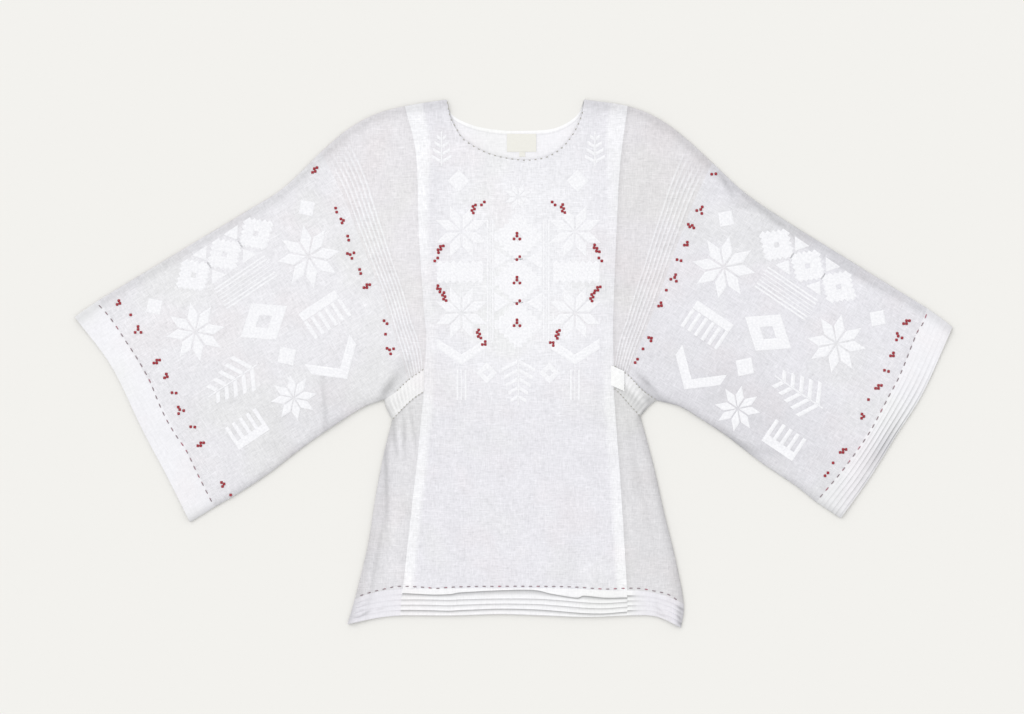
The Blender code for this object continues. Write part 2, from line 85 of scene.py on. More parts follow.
RIGHT = {
    "shoulder": ((106, 396), (171, 386), (218, 367), (260, 336), (298, 301)),
    "sleeve_top": ((298, 301), (348, 255), (410, 213), (513, 149), (620, 83)),
    "cuff_top": ((620, 83), (640, 69), (658, 55)),
    "cuff_edge": ((658, 55), (614, -43), (572, -110), (532, -174), (490, -232)),
    "cuff_seam": ((620, 83), (588, 5), (548, -75), (502, -147), (454, -208)),
    "underside": ((214, -55), (250, -65), (282, -84), (320, -109), (372, -149), (421, -182), (454, -208)),
    "cuff_underside": ((454, -208), (472, -220), (490, -232)),
    "armhole": ((298, 301), (271, 245), (250, 191), (229, 133), (212, 86), (193, 38), (172, -18)),
    "casing_above": ((150, -3), (172, -18), (192, -39), (214, -55)),
    "casing_below": ((150, -36), (163, -49), (176, -64), (190, -79)),
    "casing_tip": ((214, -55), (203, -64), (190, -79)),
    "side": ((190, -79), (209, -150), (226, -225), (243, -295), (255, -360), (251, -396)),
    "centre": ((171, 386), (160, 301), (155, 214), (151, 120), (149, 50), (150, -3), (150, -36),
               (155, -110), (160, -175), (170, -340), (170, -378)),
}
SIDES = {"left": LEFT, "right": RIGHT}


def smooth(points, steps=24):
    """A curve through the points: between two, a cubic whose ends run parallel to the neighbours' chord."""
    p = np.array(points, float)
    p = np.vstack([2 * p[0] - p[1], p, 2 * p[-1] - p[-2]])
    t = np.linspace(0, 1, steps, endpoint=False)[:, None]
    spans = [
        b + 0.5 * t * (c - a + t * (2 * a - 5 * b + 4 * c - d + t * (3 * (b - c) + d - a)))
        for a, b, c, d in zip(p, p[1:], p[2:], p[3:])
    ]
    return np.vstack([*spans, p[-2:-1]])


def even(count):
    """Shares from 0 to 1 in even steps."""
    return np.linspace(0, 1, count)


def lengths(line):
    """How far along the line each of its points is: the running sum of the distances between them."""
    return np.concatenate([[0], np.cumsum(np.hypot(*np.diff(line, axis=0).T))])


def placed(line, far):
    """The points this far along a line."""
    return np.stack([np.interp(far, lengths(line), ways) for ways in line.T], axis=-1)


def along(line, share):
    """The points at these shares of the line's length."""
    return placed(line, share * lengths(line)[-1])


def share_at(line, point):
    """The share of the line's length at which it passes nearest the point."""
    run = lengths(line)
    return run[np.argmin(np.hypot(*(line - point).T))] / run[-1]


def stretch(points, start, end):
    """The stretch of a smooth curve from nearest one point to nearest another."""
    line = smooth(points)
    return along(line, np.linspace(share_at(line, start), share_at(line, end), 97))


def joined(*lines):
    """One line from several that meet end to end."""
    return np.vstack([lines[0], *(line[1:] for line in lines[1:])])


def filled(start, end, first, last):
    """A piece's plan between four lines: the mean of the blends across and down, less that of the corners."""

    def plan(u, v):
        across = (1 - v[:, None]) * along(start, u)[:, None] + v[:, None] * along(end, u)[:, None]
        u = u[:, None, None]
        down = (1 - u) * along(first, v) + u * along(last, v)
        low, high = ((1 - v[:, None]) * start[at] + v[:, None] * end[at] for at in (0, -1))
        return across + down - (1 - u) * low - u * high

    return plan


print("neckline:", round(lengths(smooth(NECK["front"]))[-1]), "mm round the front")

# %% [markdown]
# ## How high the cloth lies
#
# A laid garment is two layers of cloth. It stands a little higher at its folded edges, where the cloth
# turns round, and sinks between them, and it keeps a few soft creases. A height worked out from x and y was
# chosen over a cloth simulation, because the stitches then lie on the cloth exactly.

# %% Distance to the nearest folded edge
FOLDED = {
    "upper": ("shoulder", "sleeve_top", "cuff_top"),
    "lower": ("underside", "cuff_underside", "casing_tip", "side"),
}
CELL = 3.0
MAP_X = np.arange(-666, 667, CELL)
MAP_Y = np.arange(-402, 403, CELL)


def nearest_fold(names):
    """On a map of small cells, the least distance to any point of the named lines."""
    at = np.stack(np.meshgrid(MAP_X, MAP_Y, indexing="ij"), axis=-1).reshape(-1, 1, 2)
    near = np.full(len(at), 1e3)
    for lines in SIDES.values():
        for name in names:
            line = along(smooth(lines[name]), np.linspace(0, 1, 120))
            near = np.minimum(near, np.hypot(*np.moveaxis(at - line, -1, 0)).min(axis=1))
    return near.reshape(MAP_X.size, MAP_Y.size)


NEAR = {which: nearest_fold(names) for which, names in FOLDED.items()}


def to_fold(x, y, which):
    """Distance to the nearest upper or lower fold: the mean of four map cells, by their nearness."""
    near = NEAR[which]
    i = np.clip((x - MAP_X[0]) / CELL, 0, MAP_X.size - 1.001)
    j = np.clip((y - MAP_Y[0]) / CELL, 0, MAP_Y.size - 1.001)
    a, b = i.astype(int), j.astype(int)
    s, t = i - a, j - b
    low = near[a, b] * (1 - s) + near[a + 1, b] * s
    high = near[a, b + 1] * (1 - s) + near[a + 1, b + 1] * s
    return low * (1 - t) + high * t


print("map cells:", NEAR["upper"].size)

# %% Creases and height
LAID = 3.3  # height of the upper layer over the table
FOLD_HEIGHT = 5.2  # the same at a folded edge
PUFF = 30.0  # how far in from an edge the cloth sinks from one to the other
CREASE_FADE = 0.25  # the share of a crease over which it rises at each end

# Columns: from x, from y, to x, to y, height, width on the left of its way, width on the right
CREASES = (
    (-276, 20, -286, -112, 1.7, 26, 5),
    (-330, -20, -360, -130, 0.7, 16, 22),
    (-420, 120, -480, -40, 0.6, 24, 30),
    (-250, 330, -215, 250, 0.7, 14, 20),
    (-192, -118, -226, -300, 1.6, 9, 16),
    (-176, -104, -196, -210, 1.1, 6, 9),
    (-162, -86, -172, -160, 0.8, 5, 7),
    (-206, -190, -240, -372, 1.2, 10, 18),
    (222, -60, 345, -104, 2.0, 20, 6),
    (345, -104, 440, -112, 1.2, 30, 9),
    (323, 262, 440, 178, 1.6, 12, 7),
    (440, 178, 590, 92, 1.7, 14, 8),
    (310, 280, 330, 215, 1.2, 8, 14),
    (205, -120, 226, -260, 0.8, 12, 9),
    (214, -250, 236, -372, 1.3, 9, 6),
    (560, -60, 512, -150, 1.0, 10, 7),
    (60, -338, 100, -378, 1.1, 12, 16),
)
# Small wrinkles of the upper layer, and troughs pressed into the back, with the same columns
WRINKLES = (
    (-330, 240, -420, 120, 0.35, 9, 14),
    (-470, 150, -520, 40, 0.3, 12, 8),
    (-360, 60, -400, -60, 0.35, 14, 8),
    (-520, 60, -470, -100, 0.3, 9, 15),
    (-300, -30, -330, -110, 0.4, 8, 10),
    (-240, 60, -262, -60, 0.35, 8, 12),
    (-420, -90, -450, -190, 0.35, 10, 7),
    (330, 180, 380, 60, 0.35, 10, 14),
    (470, 150, 520, 20, 0.3, 12, 8),
    (380, 40, 430, -80, 0.35, 12, 9),
    (250, 90, 290, -30, 0.35, 9, 12),
    (430, -110, 480, -190, 0.5, 8, 12),
    (300, -60, 330, -100, 0.4, 7, 9),
    (-178, -220, -214, -330, 0.5, 7, 11),
    (-160, -180, -176, -300, 0.35, 6, 8),
    (190, -160, 206, -250, 0.4, 8, 6),
    (222, -220, 242, -330, 0.5, 7, 9),
    (-60, -40, -40, -260, 0.25, 18, 22),
    (70, -60, 60, -300, 0.25, 20, 16),
    (-20, -300, 40, -330, 0.3, 14, 10),
    (-110, 60, -104, -80, 0.3, 10, 12),
    (120, 100, 124, -60, 0.3, 12, 10),
    (-190, 340, -176, 240, 0.35, 9, 9),
    (200, 330, 184, 220, 0.4, 9, 12),
)
BACK_TROUGHS = (
    (-300, 200, -420, 60, 0.5, 12, 18),
    (-460, 60, -420, -120, 0.4, 14, 9),
    (-60, 280, -30, 80, 0.4, 12, 16),
    (-200, -140, -222, -320, 0.6, 8, 12),
    (30, -20, 60, -280, 0.35, 16, 12),
    (340, 200, 430, 40, 0.5, 16, 10),
    (500, 80, 470, -120, 0.4, 10, 14),
    (214, -150, 232, -330, 0.6, 10, 8),
)


def bell(distance, reach):
    """e to minus the square of the distance in reaches: 1 at none, a third at one, next to nothing at two."""
    return np.exp(-((distance / reach) ** 2))


def clamp(value):
    """The value, held between 0 and 1."""
    return np.clip(value, 0, 1)


def crease(x, y, row):
    """A ridge on a line: a bell on each side, with a width of its own, that fades at both ends."""
    x0, y0, x1, y1, height, left, right = row
    way = np.array([x1 - x0, y1 - y0])
    run = np.hypot(*way)
    t = ((x - x0) * way[0] + (y - y0) * way[1]) / run**2
    off = (way[0] * (y - y0) - way[1] * (x - x0)) / run
    ends = clamp(t / CREASE_FADE) * clamp((1 - t) / CREASE_FADE)
    return height * ends * bell(off, np.where(off > 0, left, right))


def front_height(x, y):
    """Height of the upper layer: its level, a bell near the folds, and every crease and wrinkle added."""
    near = np.minimum(to_fold(x, y, "upper"), to_fold(x, y, "lower"))
    creased = sum(crease(x, y, row) for row in CREASES + WRINKLES)
    return LAID + (FOLD_HEIGHT - LAID) * bell(near, PUFF) + creased


def back_height(x, y):
    """Height of the lower layer's underside: flat on the table, apart from a few soft troughs."""
    return sum(crease(x, y, row) for row in BACK_TROUGHS)


centre_line = np.linspace(-300, 300, 7)
print("heights down the front, mm:", np.round(front_height(0 * centre_line, centre_line), 1))

# %% [markdown]
# ## Tone of the cloth and painted shade
#
# Sheer linen looks paler where it lies double, as over a seam allowance or in a hem, and greyer where a
# single layer lets the shade below show. At a fold it lies in more layers seen edge on, and painted shade
# darkens it there as well; painted shade also lies in creases, hollows and under edges, with a few painted
# highlights. The tones follow the way the blouse is sewn; they and the painted shade are worked out for
# each point and kept in the mesh as a colour attribute, which a material then reads.

# %% Tones
TONES = {
    "centre": (0.733, 0.727, 0.763),
    "chest": (0.79, 0.79, 0.815),
    "back": (0.805, 0.80, 0.825),
    "shoulder_left": (0.73, 0.716, 0.738),
    "shoulder_right": (0.695, 0.68, 0.70),
    "sleeve_left": (0.750, 0.745, 0.772),
    "sleeve_right": (0.722, 0.717, 0.752),
    "gore_left": (0.708, 0.70, 0.722),
    "gore_right": (0.682, 0.675, 0.69),
    "band": (0.795, 0.793, 0.82),
    "hem": (0.757, 0.747, 0.785),
    "white_band": (0.822, 0.820, 0.834),
    "allowance": (0.83, 0.83, 0.85),
    "casing_left": (0.850, 0.843, 0.860),
    "casing_right": (0.83, 0.827, 0.84),
    "tab": (0.845, 0.845, 0.85),
    "binding": (0.87, 0.87, 0.88),
}
TONES = {name: np.array(tone) for name, tone in TONES.items()}
# Painted shade along the folds, where the cloth also lies in more layers: its depth, how far in from the
# upper fold it is deepest, and how wide it is
UPPER_SHADE, UPPER_INSET, UPPER_REACH = 0.17, 4.0, 9.0
LOWER_SHADE, LOWER_REACH = 0.15, 8.0
WIDE_SHADE, WIDE_REACH = 0.06, 40.0

# Soft places of painted shade in creases, hollows and under edges, and a few painted highlights where the
# depth is below 0. Columns: x, y, reach along, reach across, turn in degrees, depth
SHADES = (
    (-188, -36, 19, 7, 57, 0.34),
    (-168, -9, 24, 12, 55, 0.13),
    (-190, -69, 17, 3.5, -59, 0.22),
    (-284, -58, 62, 4, 94, 0.15),
    (-266, -60, 62, 14, 94, 0.05),
    (-330, -84, 100, 50, 33, 0.05),
    (-470, -60, 90, 70, 33, 0.03),
    (-191, -168, 74, 3.6, 91, 0.19),
    (-205, -292, 74, 4, 80, 0.15),
    (-203, -190, 84, 5, 84, -0.05),
    (-180, -235, 84, 6, 86, -0.05),
    (-178, -112, 28, 3, 97, 0.18),
    (-171, -116, 26, 2.6, 94, -0.07),
    (-164, -106, 26, 3, 92, 0.16),
    (-157, -104, 26, 2.6, 94, -0.07),
    (-150, -98, 24, 2.6, 98, 0.14),
    (-236, -379, 7, 1.8, 3, 0.14),
    (-223, -375, 8, 2.1, 28, 0.28),
    (-228, -369, 5, 1.7, 18, 0.13),
    (-224, -361, 5, 1.7, 16, 0.10),
    (-200, -368, 10, 1.6, 14, 0.11),
    (-243, -373, 22, 3.0, 75, 0.12),
    (202, -54, 12, 7, -52, 0.26),
    (195, -73, 12, 3.4, 58, 0.42),
    (199, -28, 24, 4, -47, 0.27),
    (193, -35, 22, 9, -47, 0.12),
    (248, -70, 52, 6, -31, 0.20),
    (322, -112, 46, 7, -28, 0.20),
    (392, -131, 46, 8, -5, 0.10),
    (377, -146, 50, 9, -37, -0.06),
    (350, -66, 140, 62, -31, 0.09),
    (378, 226, 64, 4, -40, 0.12),
    (512, 134, 78, 4, -29, 0.12),
    (440, 192, 112, 11, -34, 0.08),
    (320, 266, 22, 4, -58, 0.16),
    (375, 222, 26, 3, -12, -0.08),
    (345, 236, 22, 6, -30, 0.10),
    (196, -212, 92, 5, 103, 0.05),
    (214, -150, 70, 4, 101, 0.04),
    (178, -130, 60, 5, 100, 0.05),
    (553, -128, 42, 9, 56, 0.22),
    (523, -180, 26, 7, 56, 0.08),
    (250, -367, 7, 1.7, -30, 0.36),
    (249, -374, 6, 1.7, -28, 0.24),
    (248, -381, 5, 1.9, -45, 0.34),
    (250, -390, 6, 2.2, -38, 0.36),
    (250, -374, 20, 5.0, 88, 0.10),
    (219, -369, 5, 1.7, -35, 0.14),
    (222, -377, 9, 1.7, -20, 0.18),
    (214, -360, 22, 3.0, -87, 0.05),
)


def turning(degrees):
    """The matrix that turns points anticlockwise, from the cosine and the sine of the angle."""
    c, s = math.cos(math.radians(degrees)), math.sin(math.radians(degrees))
    return np.array([[c, s], [-s, c]])


def shade(points, row):
    """A soft oval of painted shade, or of painted highlight where its depth is below 0: a bell of the
    distance from its middle, each way measured in its own reach.
    """
    x, y, long, wide, turn, depth = row
    forward, across = np.moveaxis((points - (x, y)) @ turning(-turn), -1, 0)
    return depth * bell(forward, long) * bell(across, wide)


def toned_with_painted_shade(points, tone):
    """The tone times what is left of it under the painted shade near the folds and under the painted shade
    and highlights of each row of SHADES.
    """
    plan = points[..., :2]
    upper, lower = (to_fold(*np.moveaxis(plan, -1, 0), which) for which in ("upper", "lower"))
    left = 1 - UPPER_SHADE * bell(upper - UPPER_INSET, UPPER_REACH)
    left = left * (1 - LOWER_SHADE * bell(lower, LOWER_REACH) - WIDE_SHADE * np.exp(-lower / WIDE_REACH))
    for row in SHADES:
        left = left * (1 - shade(plan, row))
    return tone * left[..., None]


def blend(one, other, share):
    """From one tone to another by a share at each point."""
    return one * (1 - share[..., None]) + other * share[..., None]


print("tones:", ", ".join(TONES))

# %% [markdown]
# ## Walls of cloth
#
# Each piece is one closed wall, so that it has a real thickness at the neck, the cuffs and the hem. It
# starts as a grid: rows of sections that run over the upper layer, round the fold and back underneath.
# Building both faces from arrays was chosen over a Solidify modifier, because the wall keeps its thickness
# round the tight folds.

# %% Section over, round and back
SHELL = 0.8  # thickness of the cloth
FOLD_REACH = 8.0  # how far in from the outline a fold begins to round down
FOLD_STEPS = 7  # points round a fold
SEAMED_TURN = 86  # degrees that each layer turns towards the other at a shoulder seam
NECK_FADE = 24.0  # how far along the neckline from its corners the layers part
BACK_SHARE = 3  # the lower layer has every third of the upper one's points


def layer(plan, height, inward):
    """A layer's outer points, and its inner ones, further in by the thickness."""
    return np.column_stack([plan, height]), np.column_stack([plan, height + inward])


def turned(line, edge, sign, angles, weight=1.0, upward=False):
    """Points round a fold: half an ellipse down to the table, or up from it, less the wall inside."""
    turn = np.radians(angles)
    top = front_height(*placed(line, np.array([edge])).T)[0]
    faces = []
    for inset in (0, SHELL):
        plan = placed(line, edge + sign * (FOLD_REACH - inset * weight) * np.sin(turn))
        height = top - inset - (top / 2 - inset) * weight * (1 - np.cos(turn))
        faces.append(np.column_stack([plan, top - height if upward else height]))
    return faces


def section(line, shares, lift=0.0, start=False, layers="both", weight=1.0):
    """One section as outer and inner points: over, round, back underneath and, on a tube, round again.

    A single layer, front or back, turns only as far as the shoulder seam."""
    low, high = FOLD_REACH * start, lengths(line)[-1] - FOLD_REACH
    plan = placed(line, low + (high - low) * shares)
    seamed = np.linspace(0, SEAMED_TURN, FOLD_STEPS)[1:]
    round_fold = np.linspace(0, 180, FOLD_STEPS + 2)[1:-1]
    if layers == "back":
        parts = [layer(plan, back_height(*plan.T), SHELL), turned(line, high, 1, seamed, weight, True)]
    else:
        angles = seamed if layers == "front" else round_fold
        parts = [layer(plan, front_height(*plan.T) + lift, -SHELL), turned(line, high, 1, angles, weight)]
    if layers == "both":
        under = plan[::-1][::BACK_SHARE]
        parts.append(layer(under, back_height(*under.T), SHELL))
        if start:
            parts.append(turned(line, low, -1, round_fold[::-1]))
    return [np.vstack(side) for side in zip(*parts)]


# %% From a grid to a mesh
def outward(points, faces):
    """The faces as they are, or turned round if the volume that they close comes out negative."""
    a, b, c = np.moveaxis(points[faces[:, :3]], 1, 0)
    return faces if np.sum(np.cross(b - a, c - a) * a) > 0 else faces[:, ::-1]


def wall(outer, inner, tube):
    """Faces between neighbouring points of both grids, and along the rims that join them."""
    rows, columns = outer.shape[:2]
    at = np.arange(rows * columns).reshape(rows, columns)
    if tube:
        at = np.hstack([at, at[:, :1]])
    under = at + rows * columns
    quads = [
        (at[:-1, :-1], at[1:, :-1], at[1:, 1:], at[:-1, 1:]),
        (under[:-1, :-1], under[:-1, 1:], under[1:, 1:], under[1:, :-1]),
        (at[0, :-1], at[0, 1:], under[0, 1:], under[0, :-1]),
        (at[-1, 1:], at[-1, :-1], under[-1, :-1], under[-1, 1:]),
    ]
    if not tube:
        quads.append((at[1:, 0], at[:-1, 0], under[:-1, 0], under[1:, 0]))
        quads.append((at[:-1, -1], at[1:, -1], under[1:, -1], under[:-1, -1]))
    faces = np.vstack([np.stack(quad, axis=-1).reshape(-1, 4) for quad in quads])
    points = np.vstack([outer.reshape(-1, 3), inner.reshape(-1, 3)])
    return points, outward(points, faces)


def area_of(mesh):
    """The mesh's surface in square metres."""
    found = np.empty(len(mesh.polygons))
    mesh.polygons.foreach_get("area", found)
    return found.sum()


def linked(name, data):
    """An object with this mesh, lamp or camera, in the scene."""
    made = bpy.data.objects.new(name, data)
    bpy.context.scene.collection.objects.link(made)
    return made


def to_mesh(name, points, faces, look, tones=None, smooth_below=50):
    """A mesh object from points in millimetres, smooth where faces meet at less than an angle in degrees."""
    mesh = bpy.data.meshes.new(name)
    mesh.from_pydata((points * MM).tolist(), [], faces.tolist())
    mesh.materials.append(look)
    mesh.shade_smooth()
    mesh.set_sharp_from_angle(angle=math.radians(smooth_below))
    # The tone attribute holds the cloth's own tones together with its painted shade and painted highlights.
    if tones is not None:
        tone = mesh.color_attributes.new("tone", "FLOAT_COLOR", "POINT")
        tone.data.foreach_set("color", np.column_stack([tones, np.ones(len(tones))]).ravel())
    return linked(name, mesh)


def cloth(node, sections, tube, look, tone):
    """Makes a piece from its sections, stands it for its solid, and prints its triangles and the area of one
    layer.
    """
    outer, inner = (np.array(side) for side in zip(*sections))
    points, faces = wall(outer, inner, tube)
    tones = np.vstack([tone(outer).reshape(-1, 3)] * 2)
    piece = to_mesh(f"{node}_cloth", points, faces, look, tones)
    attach(piece, "root")
    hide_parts(node)
    layer_area = area_of(piece.data) / 2
    print(f"{node}: {len(faces) * 2} triangles, {layer_area:.4f} square metres")
    return piece


# %% [markdown]
# ## Linen
#
# The real cloth is a loose plain weave of uneven flax yarn: thick places in the yarn, called slubs, show as
# short level and upright streaks. Photographed textures would do it, but shader maths keeps it sharp at any
# distance, so a small class turns Python sums into nodes.

# %% Shader maths in Python
class Socket:
    """A node's output that can be added, taken away and multiplied as a number."""

    def __init__(self, tree, output):
        self.tree = tree
        self.output = output

    def node(self, kind, settings=None, out=0, **inputs):
        """Makes a node: its settings first, then a value or a link for each named or numbered input."""
        made = self.tree.nodes.new(kind)
        for name, value in (settings or {}).items():
            setattr(made, name, value)
        for name, value in inputs.items():
            numbered = name[0] == "i" and name[1:].isdigit()
            slot = made.inputs[int(name[1:]) if numbered else name.replace("_", " ")]
            if isinstance(value, Socket):
                self.tree.links.new(value.output, slot)
            else:
                slot.default_value = value
        return Socket(self.tree, made.outputs[out])

    def math(self, operation, a, b):
        """One operation on two numbers."""
        return self.node("ShaderNodeMath", {"operation": operation}, i0=a, i1=b)

    def __add__(self, other):
        return self.math("ADD", self, other)

    def __sub__(self, other):
        return self.math("SUBTRACT", self, other)

    def __mul__(self, other):
        return self.math("MULTIPLY", self, other)

    __radd__ = __add__
    __rmul__ = __mul__

    def between(self, low, high):
        """0 below low, 1 above high, and a smooth step between."""
        settings = {"interpolation_type": "SMOOTHSTEP"}
        return self.node("ShaderNodeMapRange", settings, i0=self, i1=low, i2=high)


def start_material(name):
    """A new material, its shader, and a first socket: each point's place on the object, in metres."""
    made = bpy.data.materials.new(name)
    made.use_nodes = True
    tree = made.node_tree
    place = tree.nodes.new("ShaderNodeTexCoord")
    return made, tree.nodes["Principled BSDF"], Socket(tree, place.outputs["Object"])


def noise(at, scale, detail=2.0, sizes="2D"):
    """Clouds over a place."""
    return at.node("ShaderNodeTexNoise", {"noise_dimensions": sizes}, Vector=at, Scale=scale, Detail=detail)


def ribs(at, axis, scale, **inputs):
    """Waves across an axis, from 0 to 1."""
    wave = {"wave_type": "BANDS", "bands_direction": axis, "wave_profile": "SIN"}
    return at.node("ShaderNodeTexWave", wave, out=1, Vector=at, Scale=scale, **inputs)


def mixed(factor, one, other):
    """From one colour to another as the factor goes from 0 to 1."""
    one, other = ((*colour, 1) if isinstance(colour, tuple) else colour for colour in (one, other))
    return factor.node("ShaderNodeMix", {"data_type": "RGBA"}, out=2, i0=factor, i6=one, i7=other)


def surface(shader, tone, height, strength, distance, **settings):
    """Colour and bump go into the shader, and its other sockets are set by their names."""
    bump = tone.node("ShaderNodeBump", Height=height, Strength=strength, Distance=distance)
    tone.tree.links.new(tone.output, shader.inputs["Base Color"])
    tone.tree.links.new(bump.output, shader.inputs["Normal"])
    for name, value in settings.items():
        shader.inputs[name.replace("_", " ")].default_value = value


# %% The linen itself
YARN = 0.0009  # metres from one yarn to the next
SLUB_FULL = 0.72  # the noise at which a slub shows in full
# Columns: scale across and up, seed, the noise at which the slub begins, how much paler it makes the cloth
SLUBS = (
    (110, 520, 3.1, 0.50, 0.055),
    (520, 120, 7.7, 0.50, 0.055),
    (90, 430, 11.3, 0.50, -0.055),
    (430, 100, 17.9, 0.50, -0.05),
    (32, 560, 23.1, 0.58, 0.06),
    (560, 32, 29.3, 0.58, 0.05),
)
WHITE, WARM, COOL = (1, 1, 1), (1.0, 0.984, 0.978), (0.985, 0.990, 0.970)


def linen(name, turn=0.0, bumpy=1.0, slubby=1.0):
    """Base colour is the tone attribute, with its painted shade and highlights, times slubs both ways, soft
    clouds, and a warm and a cool flush.

    Bump is yarns, slubs and clouds."""
    made, shader, place = start_material(name)
    grain = place.node("ShaderNodeMapping", Vector=place, Rotation=(0, 0, math.radians(-turn)))
    streaks = []
    for across, up, seed, begins, _ in SLUBS:
        at = grain.node("ShaderNodeMapping", Vector=grain, Scale=(across, up, 1), Location=(seed, seed, 0))
        streaks.append(noise(at, 1.0).between(begins, SLUB_FULL))
    cloud, patch = noise(grain, 30.0, 3.0), noise(grain, 170.0)
    slubs = sum(streak * row[-1] for streak, row in zip(streaks, SLUBS)) - 0.025
    light = 0.995 + slubs * slubby + (cloud - 0.5) * (0.11 * slubby) + (patch - 0.5) * (0.13 * slubby)
    tone = place.node("ShaderNodeAttribute", {"attribute_name": "tone"})
    tinted = place.node("ShaderNodeVectorMath", {"operation": "SCALE"}, Vector=tone, Scale=light)
    warmth = mixed(noise(place, 11.0).between(0.45, 0.75), WHITE, WARM)
    flush = mixed(noise(place, 7.0).between(0.48, 0.7), warmth, COOL)
    tinted = place.node("ShaderNodeVectorMath", {"operation": "MULTIPLY"}, i0=tinted, i1=flush)
    yarns = [ribs(grain, axis, math.pi / (10 * YARN), Distortion=1.5, Detail=1.0, Detail_Scale=2.0)
             for axis in "XY"]
    height = (yarns[0] + yarns[1]) * 0.35 + (streaks[0] + streaks[1]) * 0.8 + patch * 0.6
    surface(shader, tinted, height, 0.35 * bumpy, 0.0004,
            Roughness=0.92, Specular_IOR_Level=0.15, Sheen_Weight=0.08)
    return made


SLEEVE_TURN = {"left": 32.0, "right": -31.0}
LINEN = linen("linen")
SLEEVE_LINEN = {side: linen(f"linen_sleeve_{side}", turn) for side, turn in SLEEVE_TURN.items()}
BAND_LINEN = linen("linen_band", 0.0, 0.4, 0.5)
CUFF_LINEN = {side: linen(f"linen_cuff_{side}", turn, 0.4, 0.45) for side, turn in SLEEVE_TURN.items()}
CASING_LINEN = linen("linen_casing", 40.0, 0.6, 0.6)
print("linens:", len([m for m in bpy.data.materials if m.name.startswith("linen")]))

# %% [markdown]
# ## The table, the light and the camera
#
# The picture was taken straight from above under wide, soft light, so the table is one pale plane, the sky
# gives most of the light, and one very wide lamp beyond the left shoulder only models the folds. A long
# lens, far up, keeps the edges of the frame square.

# %% Table, light and camera
TABLE_TONE = (0.764, 0.756, 0.729, 1)
TABLE_REACH = 9  # metres from its middle to its edge
VIEW_WIDTH = 1.536  # metres across the frame at the table
CAMERA = (-0.0024, 0.0098, 6.0)  # metres, over the middle of the picture
SKY = 0.98  # strength of the even light from all round
KEY, KEY_ANGLE = 0.85, 50  # strength of the wide lamp, and degrees that it takes up in the sky
KEY_PLACE = (-1.6, 2.0, 2.6)

table_mesh = bpy.data.meshes.new("table")
corners = [(x * TABLE_REACH, y * TABLE_REACH, 0) for x, y in ((-1, -1), (1, -1), (1, 1), (-1, 1))]
table_mesh.from_pydata(corners, [], [(0, 1, 2, 3)])
table = linked("table", table_mesh)
table_look, table_shader, _ = start_material("table_paper")
table_shader.inputs["Base Color"].default_value = TABLE_TONE
table_shader.inputs["Roughness"].default_value = 0.9
table_shader.inputs["Specular IOR Level"].default_value = 0.1
table_mesh.materials.append(table_look)

world = bpy.data.worlds.new("studio")
world.use_nodes = True
sky = world.node_tree.nodes["Background"]
sky.inputs["Color"].default_value = (1.0, 1.0, 1.0, 1)
sky.inputs["Strength"].default_value = SKY
bpy.context.scene.world = world

key_lamp = bpy.data.lights.new("key", "SUN")
key_lamp.energy = KEY
key_lamp.angle = math.radians(KEY_ANGLE)
key = linked("key", key_lamp)
key.location = KEY_PLACE
key.rotation_euler = (-key.location).to_track_quat("-Z", "Y").to_euler()

camera_lens = bpy.data.cameras.new("camera")
camera_lens.sensor_width = 36
camera_lens.lens = camera_lens.sensor_width * CAMERA[2] / VIEW_WIDTH
camera = linked("camera", camera_lens)
camera.location = CAMERA
bpy.context.scene.camera = camera
bpy.context.scene.view_settings.view_transform = "Standard"
print("lens:", round(camera_lens.lens, 1), "mm")

# %% [markdown]
# ## Sleeves
#
# Each sleeve is one wide tube, folded at its top and seamed underneath. It is filled between the armhole,
# the cuff seam and its two folds. The section runs along the armhole's direction, so the same number of
# points closes the tube.

# %% Sleeves
def wrapped(plan, rows, shares, start=False, lift=None):
    """Sections of a piece that is folded over at its end and, if it is a tube, at its start."""
    grid = plan(rows, even(161))
    rise = lift(rows[:, None], shares[None]) if lift else np.zeros(len(rows))
    return [section(line, shares, up, start) for line, up in zip(grid, rise)]


def plain_tone(name):
    """A tone function for a piece of one kind of cloth."""
    return lambda points: toned_with_painted_shade(points, TONES[name])


def sleeve_plan(lines):
    """The sleeve's plan: u runs from the armhole to the cuff and v from the upper fold to the lower one."""
    above = lines["casing_above"]
    first = joined(smooth(lines["armhole"]), stretch(above, above[1], above[-1]))
    return filled(smooth(lines["sleeve_top"]), smooth(lines["underside"]), first, smooth(lines["cuff_seam"]))


for side, lines in SIDES.items():
    sections = wrapped(sleeve_plan(lines), even(121), even(121), start=True)
    tone = plain_tone(f"sleeve_{side}")
    cloth(f"sleeve_{side}", sections, True, SLEEVE_LINEN[side], tone)

# %% [markdown]
# ## Cuffs, hem bands and their tucks
#
# A tuck is a pinch of cloth, stitched and pressed flat to one side. From above it is a low ramp that ends
# in a small step, and the step is what throws the fine dark line. So the ramp and the step are raised in
# the mesh, as a saw wave whose rows lie exactly at each foot and each free edge, and that line is also
# painted into the tone as shadow.

# %% Tucks as a saw wave
TUCK_DROP = 0.12  # the share of a tuck's width over which its free edge drops
STRIP_DROP = 0.03  # the same for a plain strip above the tucks, as a share of the band
FOOT_SHADE = 0.5  # the share of the next tuck that it shades
ON_A_TUCK = np.array([0.12, 0.3, 0.45, 0.7, 1 - TUCK_DROP, 1 - TUCK_DROP / 2])  # where rows lie on it


def saw(share, count):
    """Tucks side by side over shares 0 to 1: each rises evenly to its free edge and drops there."""
    phase = (clamp(share) * count) % 1
    rise, drop = clamp(phase / (1 - TUCK_DROP)), clamp((1 - phase) / TUCK_DROP)
    return np.where((share > 0) & (share < 1), np.minimum(rise, drop), 0)


def tuck_rows(low, high, count):
    """Shares at which rows of points lie: each tuck's foot, its ramp, its free edge and the drop."""
    width = (high - low) / count
    feet = low + width * np.arange(count + 1)
    return np.sort(np.concatenate([feet, (feet[:-1, None] + width * ON_A_TUCK).ravel()]))


